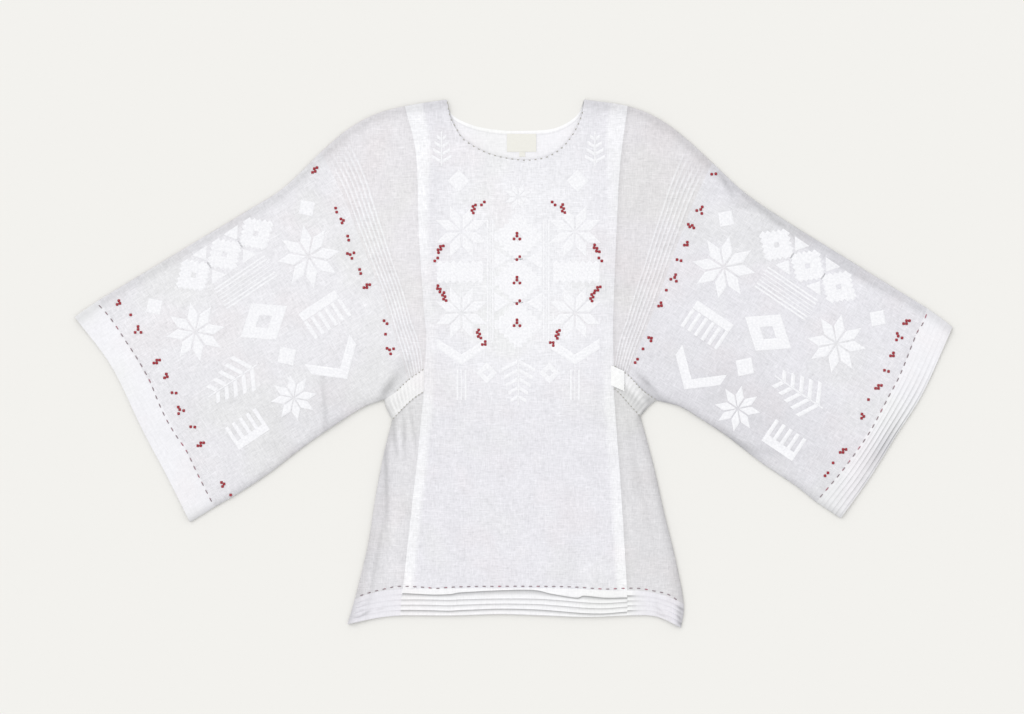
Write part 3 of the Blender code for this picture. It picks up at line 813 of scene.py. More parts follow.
def tucked_tone(rows, low, high, each, name, depth, strip=False, strength=None):
    """The band's tone, with painted shadow in the drop behind each free edge and on the foot of the next
    tuck.

    Each line between two tucks has its own share of the depth, and the strength scales the lines along the
    band. The plain strip's edge is a first drop if the band has one."""
    steps = clamp((rows - low) / (high - low)) * (len(each) - 1)
    phase = steps % 1
    dark = np.maximum(phase > 1 - TUCK_DROP * 0.9, clamp(1 - phase / FOOT_SHADE))
    dark = dark * np.array(each)[np.rint(steps).astype(int)] * (rows >= low) * (rows < high)
    if strip:
        dark = np.where((rows > low - STRIP_DROP * 0.9) & (rows <= low), 1.2, dark)
    else:
        dark = dark * (rows > low)

    def tone(points):
        along_band = strength(points[..., 1]) if strength else 1.0
        return toned_with_painted_shade(points, TONES[name]) * (1 - depth * dark[:, None] * along_band)[..., None]

    return tone


# %% Cuffs
CUFF_TUCKS = 5
CUFF_TUCKED = 0.12, 0.94  # the shares of a cuff's depth, from its seam, between which its tucks lie
CUFF_TUCK_HEIGHT = {"left": 0.2, "right": 0.9}  # pressed flatter on the left cuff
CUFF_LINES = {"left": 0.015, "right": 0.27}  # how dark the painted shadow lines between the tucks are
CUFF_EACH = (0.6, 0.7, 0.8, 1.0, 1.3, 1.3)  # the share of that in each line, from the seam to the edge
CUFF_LEAST = 0.1  # the share of it that shows all along the cuff
CUFF_SHOWS = ((-45, 40, 0.5), (-115, 45, 1.0))  # where more of it shows. Columns: y, reach, how much more
CUFF_END, CUFF_END_SHOWS = -170, 0.3  # the y below which more shows, and how much
CUFF_ROWS = np.unique(np.concatenate([[0.0, 0.04, 0.08, 1.0], tuck_rows(*CUFF_TUCKED, CUFF_TUCKS)]))


def cuff_lift(u, v):
    """Rises of a cuff's tucks, as shares of their height. Near both folds they are pressed flatter."""
    low, high = CUFF_TUCKED
    pressed = 0.2 + 0.8 * clamp((v - 0.3) / 0.2) * clamp((1.05 - v) / 0.2)
    return saw((u - low) / (high - low), CUFF_TUCKS) * pressed


def down_the_cuff(y):
    """How much the tucks' painted shadow lines show: least at the cuff's top and most three quarters of the
    way down.
    """
    more = sum(share * bell(y - at, reach) for at, reach, share in CUFF_SHOWS)
    return CUFF_LEAST + more + CUFF_END_SHOWS * (y < CUFF_END)


def cuff_plan(lines):
    """The cuff's plan: u runs from its seam to its edge and v from the upper fold to the lower one."""
    return filled(*(smooth(lines[f"cuff_{name}"]) for name in ("top", "underside", "seam", "edge")))


for side, lines in SIDES.items():
    high = CUFF_TUCK_HEIGHT[side]
    sections = wrapped(cuff_plan(lines), CUFF_ROWS, even(121), True, lambda u, v: high * cuff_lift(u, v))
    tone = tucked_tone(CUFF_ROWS, *CUFF_TUCKED, CUFF_EACH, "band", CUFF_LINES[side], strength=down_the_cuff)
    cloth(f"cuff_{side}", sections, True, CUFF_LINEN[side], tone)

# %% Hem bands
HEM_TUCKS = 4
HEM_TUCK_HEIGHT = 1.3
PLAIN_STRIP = 0.22  # the share of a hem band above its first tuck
HEM_LINES, HEM_SIDE_LINES = 0.42, 0.03  # how dark the painted shadow lines are on the centre band and on the side bands
HEM_EACH = (1.1, 0.6, 0.6, 1.0, 0.6)  # the share of that in each line, from the plain strip to the edge
HEM_FADE = {"left": 1.0, "right": 14.0}  # how far the centre band's look runs on into each side band
TAPER = 0.12  # the share of the band over which one row's waver passes into the next
HEM_ROWS = np.unique(np.concatenate([
    [0.0, 0.05, 0.1, 0.15, PLAIN_STRIP - STRIP_DROP, PLAIN_STRIP - STRIP_DROP / 2],
    tuck_rows(PLAIN_STRIP, 1.0, HEM_TUCKS)]))


def hem_lift(u):
    """Rises of the centre hem's tucks. The plain strip above them is a first, wider ramp."""
    strip = np.minimum(clamp(u / (PLAIN_STRIP - STRIP_DROP)), clamp((PLAIN_STRIP - u) / STRIP_DROP))
    return HEM_TUCK_HEIGHT * (strip + saw((u - PLAIN_STRIP) / (1 - PLAIN_STRIP), HEM_TUCKS))


def side_lift(u, v):
    """The same rises, pressed flatter away from the centre seam and higher again at the fold."""
    return hem_lift(u) * (0.25 + 0.75 * bell(v, 0.16) + 0.5 * bell(1 - v, 0.2))


def hem_tone(name, depth, strip=True):
    """The tone of a hem band with its painted shadow lines."""
    return tucked_tone(HEM_ROWS, PLAIN_STRIP, 1.0, HEM_EACH, name, depth, strip)


def from_seam(side, points):
    """How far points are from a centre seam, measured across."""
    run = smooth(SIDES[side]["centre"])[::-1]
    return np.abs(points[..., 0] - np.interp(points[..., 1], run[:, 1], run[:, 0]))


def hem_side_tone(side):
    """The side band's tone, which starts as the centre band's and fades within a thumb's width."""
    strip = side == "right"
    own, next_band = hem_tone("hem", HEM_SIDE_LINES, strip), hem_tone("white_band", HEM_LINES, strip)
    return lambda points: blend(own(points), next_band(points), bell(from_seam(side, points), HEM_FADE[side]))


for side, lines in SIDES.items():
    centre, fold = lines["centre"], lines["side"]
    plan = filled(stretch(centre, *centre[-2:]), stretch(fold, *fold[-2:]),
                  stretch(HEM_SEAM, centre[-2], fold[-2]), stretch(HEM_EDGE, centre[-1], fold[-1]))
    sections = wrapped(plan, HEM_ROWS, even(91), lift=side_lift)
    cloth(f"hem_{side}", sections, False, BAND_LINEN, hem_side_tone(side))

# Columns: x, how far the plain strip's edge and the tucks' edges lie from straight, towards the neck
WAVER = np.array((
    (-169, 2.0, 0.0), (-125, -1.2, -0.6), (-95, -0.5, -1.2), (-73, 2.6, -0.4), (22, 6.3, 0.4),
    (58, -0.3, -0.6), (94, -5.1, -2.4), (106, -1.4, -3.0), (137, -3.5, -3.6), (170, -3.5, -2.0),
))


def waver(x, share):
    """The shift of a hem row: none at the seam and the hem's edge, and the strip's or the tucks' between."""
    strip, tucks = (np.interp(x, *smooth(WAVER[:, (0, column)]).T) for column in (1, 2))
    past = clamp((share - PLAIN_STRIP) / TAPER)
    return strip * clamp(share / PLAIN_STRIP) * (1 - past) + tucks * past * clamp((1 - share) / TAPER)


def slab(plan, low, thick):
    """Sections of a single layer, from the height of its underside."""
    return [layer(line, top, bottom - top) for line, top, bottom in zip(plan, low + thick, low)]


def hem_centre(upper):
    """Sections of the centre hem band, in its upper or its lower layer: each runs across the blouse."""
    left, right = LEFT["centre"], RIGHT["centre"]
    plan = filled(stretch(HEM_SEAM, left[-2], right[-2]), stretch(HEM_EDGE, left[-1], right[-1]),
                  stretch(left, *left[-2:]), stretch(right, *right[-2:]))
    rows = HEM_ROWS if upper else even(5)
    grid = plan(even(121), rows).transpose(1, 0, 2)
    if not upper:
        return slab(grid, back_height(grid[..., 0], grid[..., 1]), SHELL)
    grid[..., 1] += waver(grid[..., 0], rows[:, None])
    return slab(grid, front_height(grid[..., 0], grid[..., 1]) - SHELL, SHELL + hem_lift(rows[:, None]))


white_band = hem_tone("white_band", HEM_LINES)
cloth("hem_front", hem_centre(True), False, BAND_LINEN, white_band)
cloth("hem_back", hem_centre(False), False, BAND_LINEN, plain_tone("band"))

# %% [markdown]
# ## Shoulder panels and their pintucks
#
# A pintuck is a ridge barely wider than its thread. Six of them fan down each shoulder panel beside the
# sleeve. They follow the panel's own lines, so a ridge is a function of the share across the panel.

# %% Shoulder panels
PINTUCKS = 6
PINTUCKED = (0, 0.95), (0.2, 0.62), (0.45, 0.46), (0.7, 0.38), (1, 0.33)  # shares of the height and width
PINTUCK_HEIGHT = 0.9
# Shares of a step at which a ridge is highest and at which it ends, and that its steep side takes up
PINTUCK_TOP, PINTUCK_END, PINTUCK_DROP = 0.55, 0.8, 0.2
# How far a ridge, and the cloth between two, leave the panel's tone for the band's. The ridge is doubled
# cloth and paler, with a painted highlight beyond the band's tone, and the cloth beside it has painted shade
PINTUCK_SHOWS = {"left": (2.3, 0.7), "right": (1.4, 0.4)}
SEAM_SHADE = {"left": 0.04, "right": 0.09}
SEAM_SHADE_REACH = 5.0


def pintucks(u, v):
    """A ridge in each step across the tucked share: it rises slowly, drops fast and fades near the fold."""
    share = np.interp(v, *np.array(PINTUCKED).T)
    phase = np.clip((u - 1 + share) / share * (PINTUCKS + 0.5), 0, PINTUCKS) % 1
    ridge = np.minimum(clamp(phase / PINTUCK_TOP), clamp((PINTUCK_END - phase) / PINTUCK_DROP))
    return PINTUCK_HEIGHT * ridge * clamp(6 * (1.04 - v))


def beside_seam(side, name, pale=None):
    """A tone function whose cloth is darker in a narrow strip beside the centre seam, which shades it.

    The upper layer goes towards the band's tone by the pale share, which holds the pintucks' painted
    highlight and painted shade."""

    def tone(points):
        towards = np.zeros(points.shape[:2])
        if pale is not None:
            towards[:, :pale.shape[1]] = pale
        shaded = SEAM_SHADE[side] * bell(from_seam(side, points), SEAM_SHADE_REACH)
        return toned_with_painted_shade(points, blend(TONES[name], TONES["band"], towards)) * (1 - shaded)[..., None]

    return tone


def shoulder_plan(lines):
    """The panel's plan: u runs from the centre seam to the armhole and v from the casing to the shoulder."""
    above, centre, shoulder = (lines[name] for name in ("casing_above", "centre", "shoulder"))
    return filled(stretch(above, *above[:2]), stretch(shoulder, centre[0], shoulder[-1]),
                  stretch(centre, above[0], centre[0]), smooth(lines["armhole"])[::-1])


for side, lines in SIDES.items():
    ridge = pintucks(even(121)[:, None], even(121)[None]) / PINTUCK_HEIGHT
    sections = wrapped(shoulder_plan(lines), even(121), even(121), lift=pintucks)
    bright, valley = PINTUCK_SHOWS[side]
    tone = beside_seam(side, f"shoulder_{side}", bright * ridge - valley * (ridge > 0))
    cloth(f"shoulder_{side}", sections, False, LINEN, tone)

# %% [markdown]
# ## Casings and gores
#
# The casing is a doubled band that elastic draws in below the sleeve, so it stands in short gathers across
# its width. The gore below it is plain, with small gathers where it hangs from the casing.

# %% Casings
GATHERS = 9
GATHER_HEIGHT = 1.0
CASING_RISE = 0.9
CASING_UNDER = {"left": 0, "right": 0.2}  # how dark the painted shade on the casing's lower half is
CASING_VALLEY = 0.15  # how dark the painted shade is between two gathers
CASING_INNER = 0.07  # how much darker than its tip a casing is beside the centre seam
CASING_ROWS, CASING_SHARES = even(17), even(91)


def gathers(u, v):
    """Even waves along the band, highest half way across it, that die out at the fold."""
    wave = 0.5 - 0.5 * np.cos(2 * np.pi * GATHERS * v)
    across = np.sin(np.pi * np.clip(u, 0.12, 0.88))
    return (CASING_RISE + GATHER_HEIGHT * wave * across) * clamp(8 * (1 - v))


def casing_tone(side):
    """The casing's tone, with painted shade between the gathers. On the right its lower half lies in painted
    shade.
    """
    u, v = CASING_ROWS[:, None], CASING_SHARES[None]
    valley = (0.5 + 0.5 * np.cos(2 * np.pi * GATHERS * v)) * clamp(2 * v - 0.5) * np.sin(np.pi * u)
    under = clamp((u - 0.40) / 0.2) * CASING_UNDER[side]
    upper = (1 - CASING_VALLEY * valley) * (1 - under) * (1 - CASING_INNER * clamp(1 - 2 * v))

    def tone(points):
        shown = np.ones(points.shape[:2])
        shown[:, :v.size] = upper
        return toned_with_painted_shade(points, TONES[f"casing_{side}"]) * shown[..., None]

    return tone


for side, lines in SIDES.items():
    above, below = lines["casing_above"], lines["casing_below"]
    plan = filled(stretch(lines["centre"], above[0], below[0]), smooth(lines["casing_tip"]),
                  smooth(above), smooth(below))
    sections = wrapped(plan, CASING_ROWS, CASING_SHARES, lift=gathers)
    cloth(f"casing_{side}", sections, False, CASING_LINEN, casing_tone(side))


def gore_plan(lines):
    """The gore's plan: u runs from the casing to the hem and v from the centre seam to the side fold."""
    below, centre, fold = (lines[name] for name in ("casing_below", "centre", "side"))
    return filled(stretch(centre, below[0], centre[-2]), stretch(fold, fold[0], fold[-2]),
                  smooth(below), stretch(HEM_SEAM, centre[-2], fold[-2]))


for side, lines in SIDES.items():
    sections = wrapped(gore_plan(lines), even(101), even(46))
    cloth(f"gore_{side}", sections, False, LINEN, beside_seam(side, f"gore_{side}"))

# %% [markdown]
# ## Centre panels
#
# The front and the back are cut as one long panel each. Inside both long seams the allowance lies under the
# sheer cloth and shows as a paler strip, which is raised a little and toned as doubled cloth.

# %% Centre panels
ALLOWANCE = 14.0  # width of the doubled strip inside a centre seam
ALLOWANCE_RISE = 0.25
WIDENS = 0.8, 250, 100  # the share by which it widens towards the shoulder, from which y and over how far
BIB = (8, 120), (150, 190)  # the paler chest: x of its middle and reach across, and the same in y
# Columns: y, how much the doubled strip shows there through the front
STRIP_SHOWS = {
    "left": ((-340, 1.1), (-137, 0.95), (-30, 0.6), (88, 0.3), (180, 0.8), (240, 1.0), (345, 1.0)),
    "right": ((-340, 1.1), (-242, 1.0), (-137, 0.6), (-60, 0.7), (0, 0.5), (88, 0.1), (200, 0.25), (300, 0.7),
              (345, 0.8)),
}


def panel(neck, across, up):
    """Sections of a centre panel, in the layer named by its neckline.

    The layers part along the neckline, and meet again at the shoulder seams."""
    left, right, rim = LEFT["centre"], RIGHT["centre"], NECK[neck]
    top = joined(stretch(LEFT["shoulder"], left[0], rim[0]), smooth(rim),
                 stretch(RIGHT["shoulder"], rim[-1], right[0]))
    plan = filled(stretch(HEM_SEAM, left[-2], right[-2]), top,
                  stretch(left, left[-2], left[0]), stretch(right, right[-2], right[0]))
    into = np.minimum(across - share_at(top, rim[0]), share_at(top, rim[-1]) - across) * lengths(top)[-1]
    weights = np.where(into > 0, clamp(1 - into / NECK_FADE), 1.0)
    grid = plan(across, even(161))
    width = np.linalg.norm(grid[-1] - grid[0], axis=1).mean()
    inset = np.minimum(across, 1 - across) * width
    rise = ALLOWANCE_RISE * clamp((ALLOWANCE - inset) / 2 + 0.5)
    return [section(line, up, lift, False, neck, weight) for line, lift, weight in zip(grid, rise, weights)]


def front_tone(points):
    """The centre tone, blended into the allowance's along both long seams and a little paler on the chest."""
    x, y = points[..., 0], points[..., 1]
    more, start, run = WIDENS
    wider = ALLOWANCE * (1 + more * clamp((y - start) / run))
    strips = [np.interp(y, *np.array(rows).T) * clamp((wider - from_seam(side, points)) / 8 + 0.6)
              for side, rows in STRIP_SHOWS.items()]
    (middle, across), (height, up) = BIB
    bib = np.exp(-(((x - middle) / across) ** 4) - ((y - height) / up) ** 4)
    chest = blend(TONES["centre"], TONES["chest"], bib)
    return toned_with_painted_shade(points, blend(chest, TONES["allowance"], np.maximum(*strips)))


BINDING = 4.2  # width of the bound edge at the back of the neck
BELOW_BINDING = 0.09, 1.5, 1.3  # the shade under it: its depth, how far below the edge it lies, and its reach


def back_tone(points):
    """The back's tone, brighter along its bound neckline and a little darker just below the binding."""
    edge = smooth(NECK["back"])
    below = np.interp(points[..., 0], *edge.T) - points[..., 1]
    bound = clamp(BINDING - below + 0.5)
    depth, off, reach = BELOW_BINDING
    under = depth * bell(below - BINDING - off, reach)
    return toned_with_painted_shade(points, blend(TONES["back"], TONES["binding"], bound)) * (1 - under)[..., None]


front, back = panel("front", even(141), even(221)), panel("back", even(81), even(101))
cloth("front_centre", front, False, LINEN, front_tone)
cloth("back_centre", back, False, BAND_LINEN, back_tone)

# %% [markdown]
# ## Label, its tab and the casing's loose end
#
# The label is a woven tape with no words on it. It lies flat on the inside of the back, with a small tab
# under it.

# %% Small pieces
# Columns: node, slot, x and y of the middle, width, depth, thickness, lean of its ends
LABEL_TAB = ("label_tab", "woven_label", 13, 313.7, 9, 7, 0.5, 0.0)
LABEL = ("label", "woven_label", 12, 331, 44, 27, 0.6, 0.0)
CASING_TAB = ("casing_tab", "casing", 156, -22, 20, 30, 0.8, 0.45)
TAB_GAP, LABEL_GAP = 0.3, 0.15  # how far each lies over the cloth below
DULL_IVORY, IVORY = (0.71, 0.70, 0.645), (0.80, 0.792, 0.742)


def tape(name):
    """Base colour is ivory with fine ribs. Bump is the ribs."""
    made, shader, place = start_material(name)
    woven = ribs(place, "Y", 520.0, Distortion=0.5)
    uneven = woven * 0.5 + noise(place, 400.0, sizes="3D") * 0.5
    surface(shader, mixed(uneven, DULL_IVORY, IVORY), woven, 0.3, 0.0003, Roughness=0.6)
    return made


TAPE = tape("ivory_tape")


def small_piece(node, slot, x, y, width, depth, thick, lean):
    """Sections of a small flat piece that follows the layer it lies on."""
    u, v = np.meshgrid(even(25) - 0.5, even(17) - 0.5, indexing="ij")
    plan = np.dstack([x + u * width, y + v * depth - lean * u * width])
    if slot == "casing":
        over = (CASING_RISE + GATHER_HEIGHT) * clamp(4 * (u + 0.5))
        floor = front_height(plan[..., 0], plan[..., 1]) + over + TAB_GAP
    else:
        floor = np.full(u.shape, SHELL + LABEL_GAP)
    return slab(plan, floor, thick)


tab_tone = plain_tone("tab")
tab = cloth("label_tab", small_piece(*LABEL_TAB), False, TAPE, tab_tone)
cloth("label", small_piece(*LABEL), False, TAPE, tab_tone)
cloth("casing_tab", small_piece(*CASING_TAB), False, CASING_LINEN, tab_tone)

# %% [markdown]
# ## Thread
#
# A stitch is a short length of thread that dips into the cloth at both ends. It is made as a spindle: a
# point, a few rings and a point. All the stitches of one kind are one mesh, worked out as one array,
# because a thousand separate objects would be slow to draw and to export.

# %% Spindles of thread
def spindles(starts, ends, width, height, stations, swell, sides):
    """Points and faces of one spindle for each start and end: rings at the stations, scaled by the swell."""
    count = len(starts)
    stations, swell = np.array(stations)[None, :, None, None], np.array(swell)[None, :, None, None]
    angle = np.linspace(0, 2 * np.pi, sides, endpoint=False)[None, None, :, None] + np.pi / 2
    way = (ends - starts)[:, None, None]
    square = way[..., ::-1] * (-1, 1) / np.maximum(np.hypot(*way.T), 1e-6).T[..., None]
    centre = starts[:, None, None] + stations * way
    ground = front_height(centre[..., 0], centre[..., 1])[..., None]
    plan = centre + 0.5 * width * swell * np.cos(angle) * square
    rise = ground + 0.5 * height * swell * (1 + np.sin(angle))
    rings = np.concatenate([plan, rise], axis=-1).reshape(count, -1, 3)
    tips = np.stack([starts, ends], axis=1)
    tips = np.concatenate([tips, front_height(tips[..., 0], tips[..., 1])[..., None]], axis=-1)
    points = np.concatenate([rings, tips], axis=1)
    ring = np.arange(stations.size * sides).reshape(-1, sides)
    after = np.roll(ring, -1, axis=1)
    first, last = np.full(sides, ring.size), np.full(sides, ring.size + 1)
    body = np.stack([ring[:-1], ring[1:], after[1:], after[:-1]], axis=-1).reshape(-1, 4)
    fans = [np.stack(fan, axis=-1) for fan in ((first, ring[0], after[0]), (ring[-1], last, after[-1]))]
    faces = np.vstack([body[:, [0, 1, 2]], body[:, [0, 2, 3]], *fans])
    step = points.shape[1] * np.arange(count)[:, None, None]
    return points.reshape(-1, 3), (faces[None] + step).reshape(-1, 3)


def thread_piece(name, parts, look, lift=0.12, smooth_below=180):
    """One piece from many spindles, lifted clear of the cloth."""
    points = np.vstack([part[0] for part in parts])
    counts = np.cumsum([0] + [len(part[0]) for part in parts[:-1]])
    faces = outward(points, np.vstack([part[1] + count for part, count in zip(parts, counts)]))
    piece = to_mesh(name, points + (0, 0, lift), faces, look, smooth_below=smooth_below)
    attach(piece, "root")
    print(f"{name}: {len(faces)} triangles")
    return piece


def thread(name, tone, deep, roughness, change=900.0, low=0.2, high=0.8):
    """Base colour goes from one tone to another where a noise passes from low to high.

    The noise is fine for the ply of one dyed thread, and coarse where the dashes themselves differ."""
    made, shader, place = start_material(name)
    fibre = noise(place, change, 1.0, "3D")
    surface(shader, mixed(fibre.between(low, high), tone, deep), fibre, 0.2, 0.0002,
            Roughness=roughness, Sheen_Weight=0.1)
    return made


ROSE, SLATE = (0.38, 0.12, 0.16), (0.24, 0.18, 0.20)
WHITE_THREAD = thread("white_thread", (0.85, 0.85, 0.868), (0.765, 0.765, 0.79), 0.6, 320.0)
RED_THREAD = thread("red_thread", (0.40, 0.014, 0.030), (0.28, 0.010, 0.020), 0.5)
CUFF_THREAD = thread("cuff_thread", ROSE, SLATE, 0.6, 65.0, 0.38, 0.5)
HEM_THREAD = thread("hem_thread", ROSE, SLATE, 0.6, 65.0, 0.36, 0.42)
GREY_THREAD = thread("grey_thread", (0.45, 0.44, 0.39), (0.33, 0.32, 0.28), 0.7)

# %% [markdown]
# ## Running stitches
#
# One line of running stitch follows the neckline, each cuff seam and the hem seam. The dashes are a little
# over half of the pitch, and short ones follow the neckline and the casings' edges. The thread's colour
# changes along it.

# %% Running stitches
STITCH_LINES = {
    "neck": ((-100, 395), (-95, 370), (-86, 353), (-77, 338), (-65, 329), (-49, 320), (-25, 311), (13, 305),
             (40, 307), (59, 314), (77, 328), (92, 349), (100, 367), (104, 380)),
    "left_cuff": ((-624, 90), (-610, 75), (-596, 56), (-581, 33), (-564, 7), (-546, -25), (-535, -52),
                  (-523, -79), (-508, -105), (-491, -130), (-479, -155), (-466, -181), (-451, -210)),
    "right_cuff": ((620, 77), (613, 59), (606, 49), (596, 25), (586, -1), (575, -26), (562, -50), (549, -75),
                   (536, -99), (521, -122), (506, -143), (491, -163), (475, -182), (457, -203)),
    "hem": ((-233, -349), (-215, -343), (-194, -338), (-173, -334), (-140, -335), (-116, -337), (-89, -335),
            (-40, -334), (50, -334), (91, -335), (136, -338), (163, -337), (188, -337), (211, -341),
            (232, -346), (247, -356)),
}
# Length, pitch and width of the dashes
NECK_DASHES = 3.4, 8.8, 1.55
CUFF_DASHES = 7.4, 13.2, 1.75
HEM_DASHES = 5.8, 11.6, 1.65
CASING_DASHES = 2.2, 5.9, 1.9
DASH_HEIGHT = 0.7
DASH_STATIONS = (0.12, 0.3, 0.5, 0.7, 0.88)
DASH_SWELL = (0.75, 1.0, 1.0, 1.0, 0.75)


def dashes(points, dash, pitch, width):
    """Dashes along a line, at one pitch that divides its length."""
    line = smooth(points)
    run = lengths(line)[-1]
    count = round(run / pitch)
    middle = (np.arange(count) + 0.5) / count
    reach = 0.5 * dash / run
    return spindles(along(line, middle - reach), along(line, middle + reach), width, DASH_HEIGHT,
                    DASH_STATIONS, DASH_SWELL, 6)


thread_piece("neck_stitches", [dashes(STITCH_LINES["neck"], *NECK_DASHES)], GREY_THREAD)
cuff_dashes = [dashes(STITCH_LINES[f"{side}_cuff"], *CUFF_DASHES) for side in SIDES]
thread_piece("cuff_stitches", cuff_dashes, CUFF_THREAD)
thread_piece("hem_stitches", [dashes(STITCH_LINES["hem"], *HEM_DASHES)], HEM_THREAD)
# The left casing's upper stitches end where the fold under the sleeve begins to shade them
CASING_SEAMS = LEFT["casing_above"][:3], LEFT["casing_below"], RIGHT["casing_above"], RIGHT["casing_below"]
casing_dashes = [dashes(seam, *CASING_DASHES) for seam in CASING_SEAMS]
thread_piece("casing_stitches", casing_dashes, GREY_THREAD, lift=CASING_RISE + 0.1)

# %% [markdown]
# ## Red cross-stitch
#
# Small groups of crosses run down each sleeve-head and above each cuff, and a few stand on the chest. Each
# cross is two threads over one square of the weave, and a group is a short list of squares.

# %% Cross-stitch
SQUARE = 4.4  # from one cross to the next
CROSS = 1.8  # half the width of a cross
PLUMP = 3.0  # width of its threads
LOWER_THREAD, UPPER_THREAD = 0.6, 0.9  # how high each stands
CROSS_STATIONS, CROSS_SWELL = (0.1, 0.5, 0.9), (0.8, 1, 0.8)
GROUPS = {
    "one": ((0, 0),),
    "pair": ((0, 0), (1, 1)),
    "corner": ((0, 0), (1, 0), (1, 1)),
    "step": ((0, 0), (1, 0), (1, 1), (2, 1)),
    "arrow": ((0, 0), (1, 1), (2, 0), (1, 2)),
    "stairs": ((0, 0), (0, 1), (1, 1), (1, 2), (2, 2)),
}
MIDDLE = 7  # x of the chest's middle


def both_sides(*rows):
    """Rows left of the chest's middle, and the same on its right with a quarter turn less their own."""
    return *rows, *((group, 2 * MIDDLE - x, y, 90 - turn) for group, x, y, turn in rows)


# Columns: group, x and y of its middle, turn in degrees
CROSSES = {
    "left_head": (
        ("step", -298, 290, 20), ("pair", -266, 230, 60), ("corner", -257, 214, 60), ("pair", -248, 188, 60),
        ("arrow", -244, 163, 70), ("pair", -230, 138, 60), ("step", -220, 116, 0), ("pair", -192, 62, 90),
        ("one", -192, 44, 0), ("arrow", -185, 20, 60)),
    "left_cuff": (
        ("corner", -592, 91, 20), ("one", -574, 73, 0), ("arrow", -563, 50, 0), ("step", -535, 3, 0),
        ("corner", -521, -19, 20), ("pair", -509, -44, -50), ("arrow", -500, -70, 30),
        ("pair", -481, -95, -50), ("step", -469, -121, 0), ("corner", -436, -181, 60),
        ("one", -424, -197, 0)),
    "right_head": (
        ("pair", 300, 284, -40), ("arrow", 280, 230, -30), ("step", 266, 206, -60), ("corner", 259, 179, 0),
        ("pair", 248, 155, -60), ("arrow", 241, 128, -20), ("one", 229, 110, 0), ("corner", 220, 88, 10),
        ("corner", 205, 37, 80), ("one", 194, 22, 0), ("pair", 184, 4, 10)),
    "right_cuff": (
        ("step", 589, 62, 0), ("arrow", 577, 40, 20), ("corner", 568, 13, 0), ("pair", 559, -11, -60),
        ("step", 547, -35, 0), ("one", 532, -54, 0), ("corner", 523, -79, 40), ("step", 494, -131, 0),
        ("one", 479, -149, 0), ("pair", 469, -166, 0)),
    "chest": (
        *both_sides(("stairs", -110, 172, 10), ("pair", -116, 156, 0), ("step", -112, 112, 80),
                    ("stairs", -104, 100, 60)),
        *both_sides(("stairs", -60, 232, 30), ("pair", -46, 240, 0)),
        *both_sides(("stairs", -52, 44, 60), ("corner", -44, 30, 0)),
        ("arrow", 5, 190, 0), ("pair", 7, 158, 0), ("arrow", 5, 124, 0), ("pair", 7, 92, 0),
        ("arrow", 5, 60, 0)),
}


def crosses(rows):
    """The two threads of each cross, from the groups' squares turned and placed."""
    middles = []
    for group, *middle, turn in rows:
        squares = np.array(GROUPS[group], float)
        middles.append((squares - squares.mean(axis=0)) * SQUARE @ turning(turn) + middle)
    middles = np.vstack(middles)
    return [spindles(middles - arm, middles + arm, PLUMP, high, CROSS_STATIONS, CROSS_SWELL, 5)
            for arm, high in (((CROSS, CROSS), LOWER_THREAD), ((CROSS, -CROSS), UPPER_THREAD))]


thread_piece("cross_stitches", [part for rows in CROSSES.values() for part in crosses(rows)], RED_THREAD)

# %% [markdown]
# ## White embroidery
#
# White-on-white folk embroidery is counted: each motif is built from straight floats of thread over the
# squares of the weave, so its outline is made of straight edges and steps. The motifs here are common ones,
# in a layout of this lesson's own: eight-point stars, lozenges, chevrons, pines, combs and bars with
# toothed edges. A motif is a list of outlines, and a float is laid wherever a row of the weave runs inside
# an odd number of them.

# %% Floats that fill an outline
ROW = 1.1  # from one float to the next
LONGEST = 8.0  # longest float before the thread dips
SHORTEST = 0.8
OVERLAP = 0.5  # how far two floats of one row run over each other
STAGGER = 0.15  # the share of a float by which its dip moves from row to row


def floats(outlines, angle):
    """Starts and ends of the floats inside closed outlines, laid at an angle in degrees."""
    level = [np.array(outline, float) @ turning(-angle) for outline in outlines]
    x0, y0, x1, y1 = np.vstack([np.hstack([shape, np.roll(shape, -1, axis=0)]) for shape in level]).T
    spans = []
    for index in range(math.ceil(y0.min() / ROW), math.floor(y0.max() / ROW) + 1):
        y = index * ROW + 0.01
        cut = (y0 > y) != (y1 > y)
        hits = np.sort(x0[cut] + (y - y0[cut]) / (y1[cut] - y0[cut]) * (x1[cut] - x0[cut]))
        for low, high in zip(hits[::2], hits[1::2]):
            count = max(1, math.ceil((high - low) / LONGEST))
            stops = np.linspace(low, high, count + 1)
            stops[1:-1] += (index * 7 % 5 - 2) * STAGGER * (high - low) / count
            first, last = np.maximum(stops[:-1] - OVERLAP, low), np.minimum(stops[1:] + OVERLAP, high)
            spans.append(np.column_stack([first, np.full(count, y), last, np.full(count, y)]))
    spans = np.vstack(spans)
    spans = spans[np.abs(spans[:, 2] - spans[:, 0]) > SHORTEST]
    return spans[:, :2] @ turning(angle), spans[:, 2:] @ turning(angle)


# %% Motifs
POINTS = np.array([(0, 1), (1, 0), (0, -1), (-1, 0)])  # of a diamond


def bar(x0, y0, x1, y1):
    """The outline of a rectangle."""
    return [(x0, y0), (x1, y0), (x1, y1), (x0, y1)]


def spread(width, count):
    """The middles of even places side by side."""
    return (np.arange(count) - (count - 1) / 2) * width


def lozenge(width, height, hole=0.0):
    """A diamond, with a smaller diamond left open in it."""
    shape = POINTS * (width / 2, height / 2)
    return [([shape, shape * hole] if hole else [shape], 0)]


def stepped(width, height, steps=5):
    """A diamond whose sides are stairs: a quarter of it is mirrored three times."""
    x = np.repeat(np.arange(1, steps + 1) / steps, 2)
    y = np.repeat(np.arange(steps, -1, -1) / steps, 2)[1:-1]
    quarter = np.column_stack([x, y])
    turns = ((1, 1), (1, -1), (-1, -1), (-1, 1))
    return np.vstack([quarter[::sx * sy] * (sx, sy) for sx, sy in turns]) * (width / 2, height / 2)


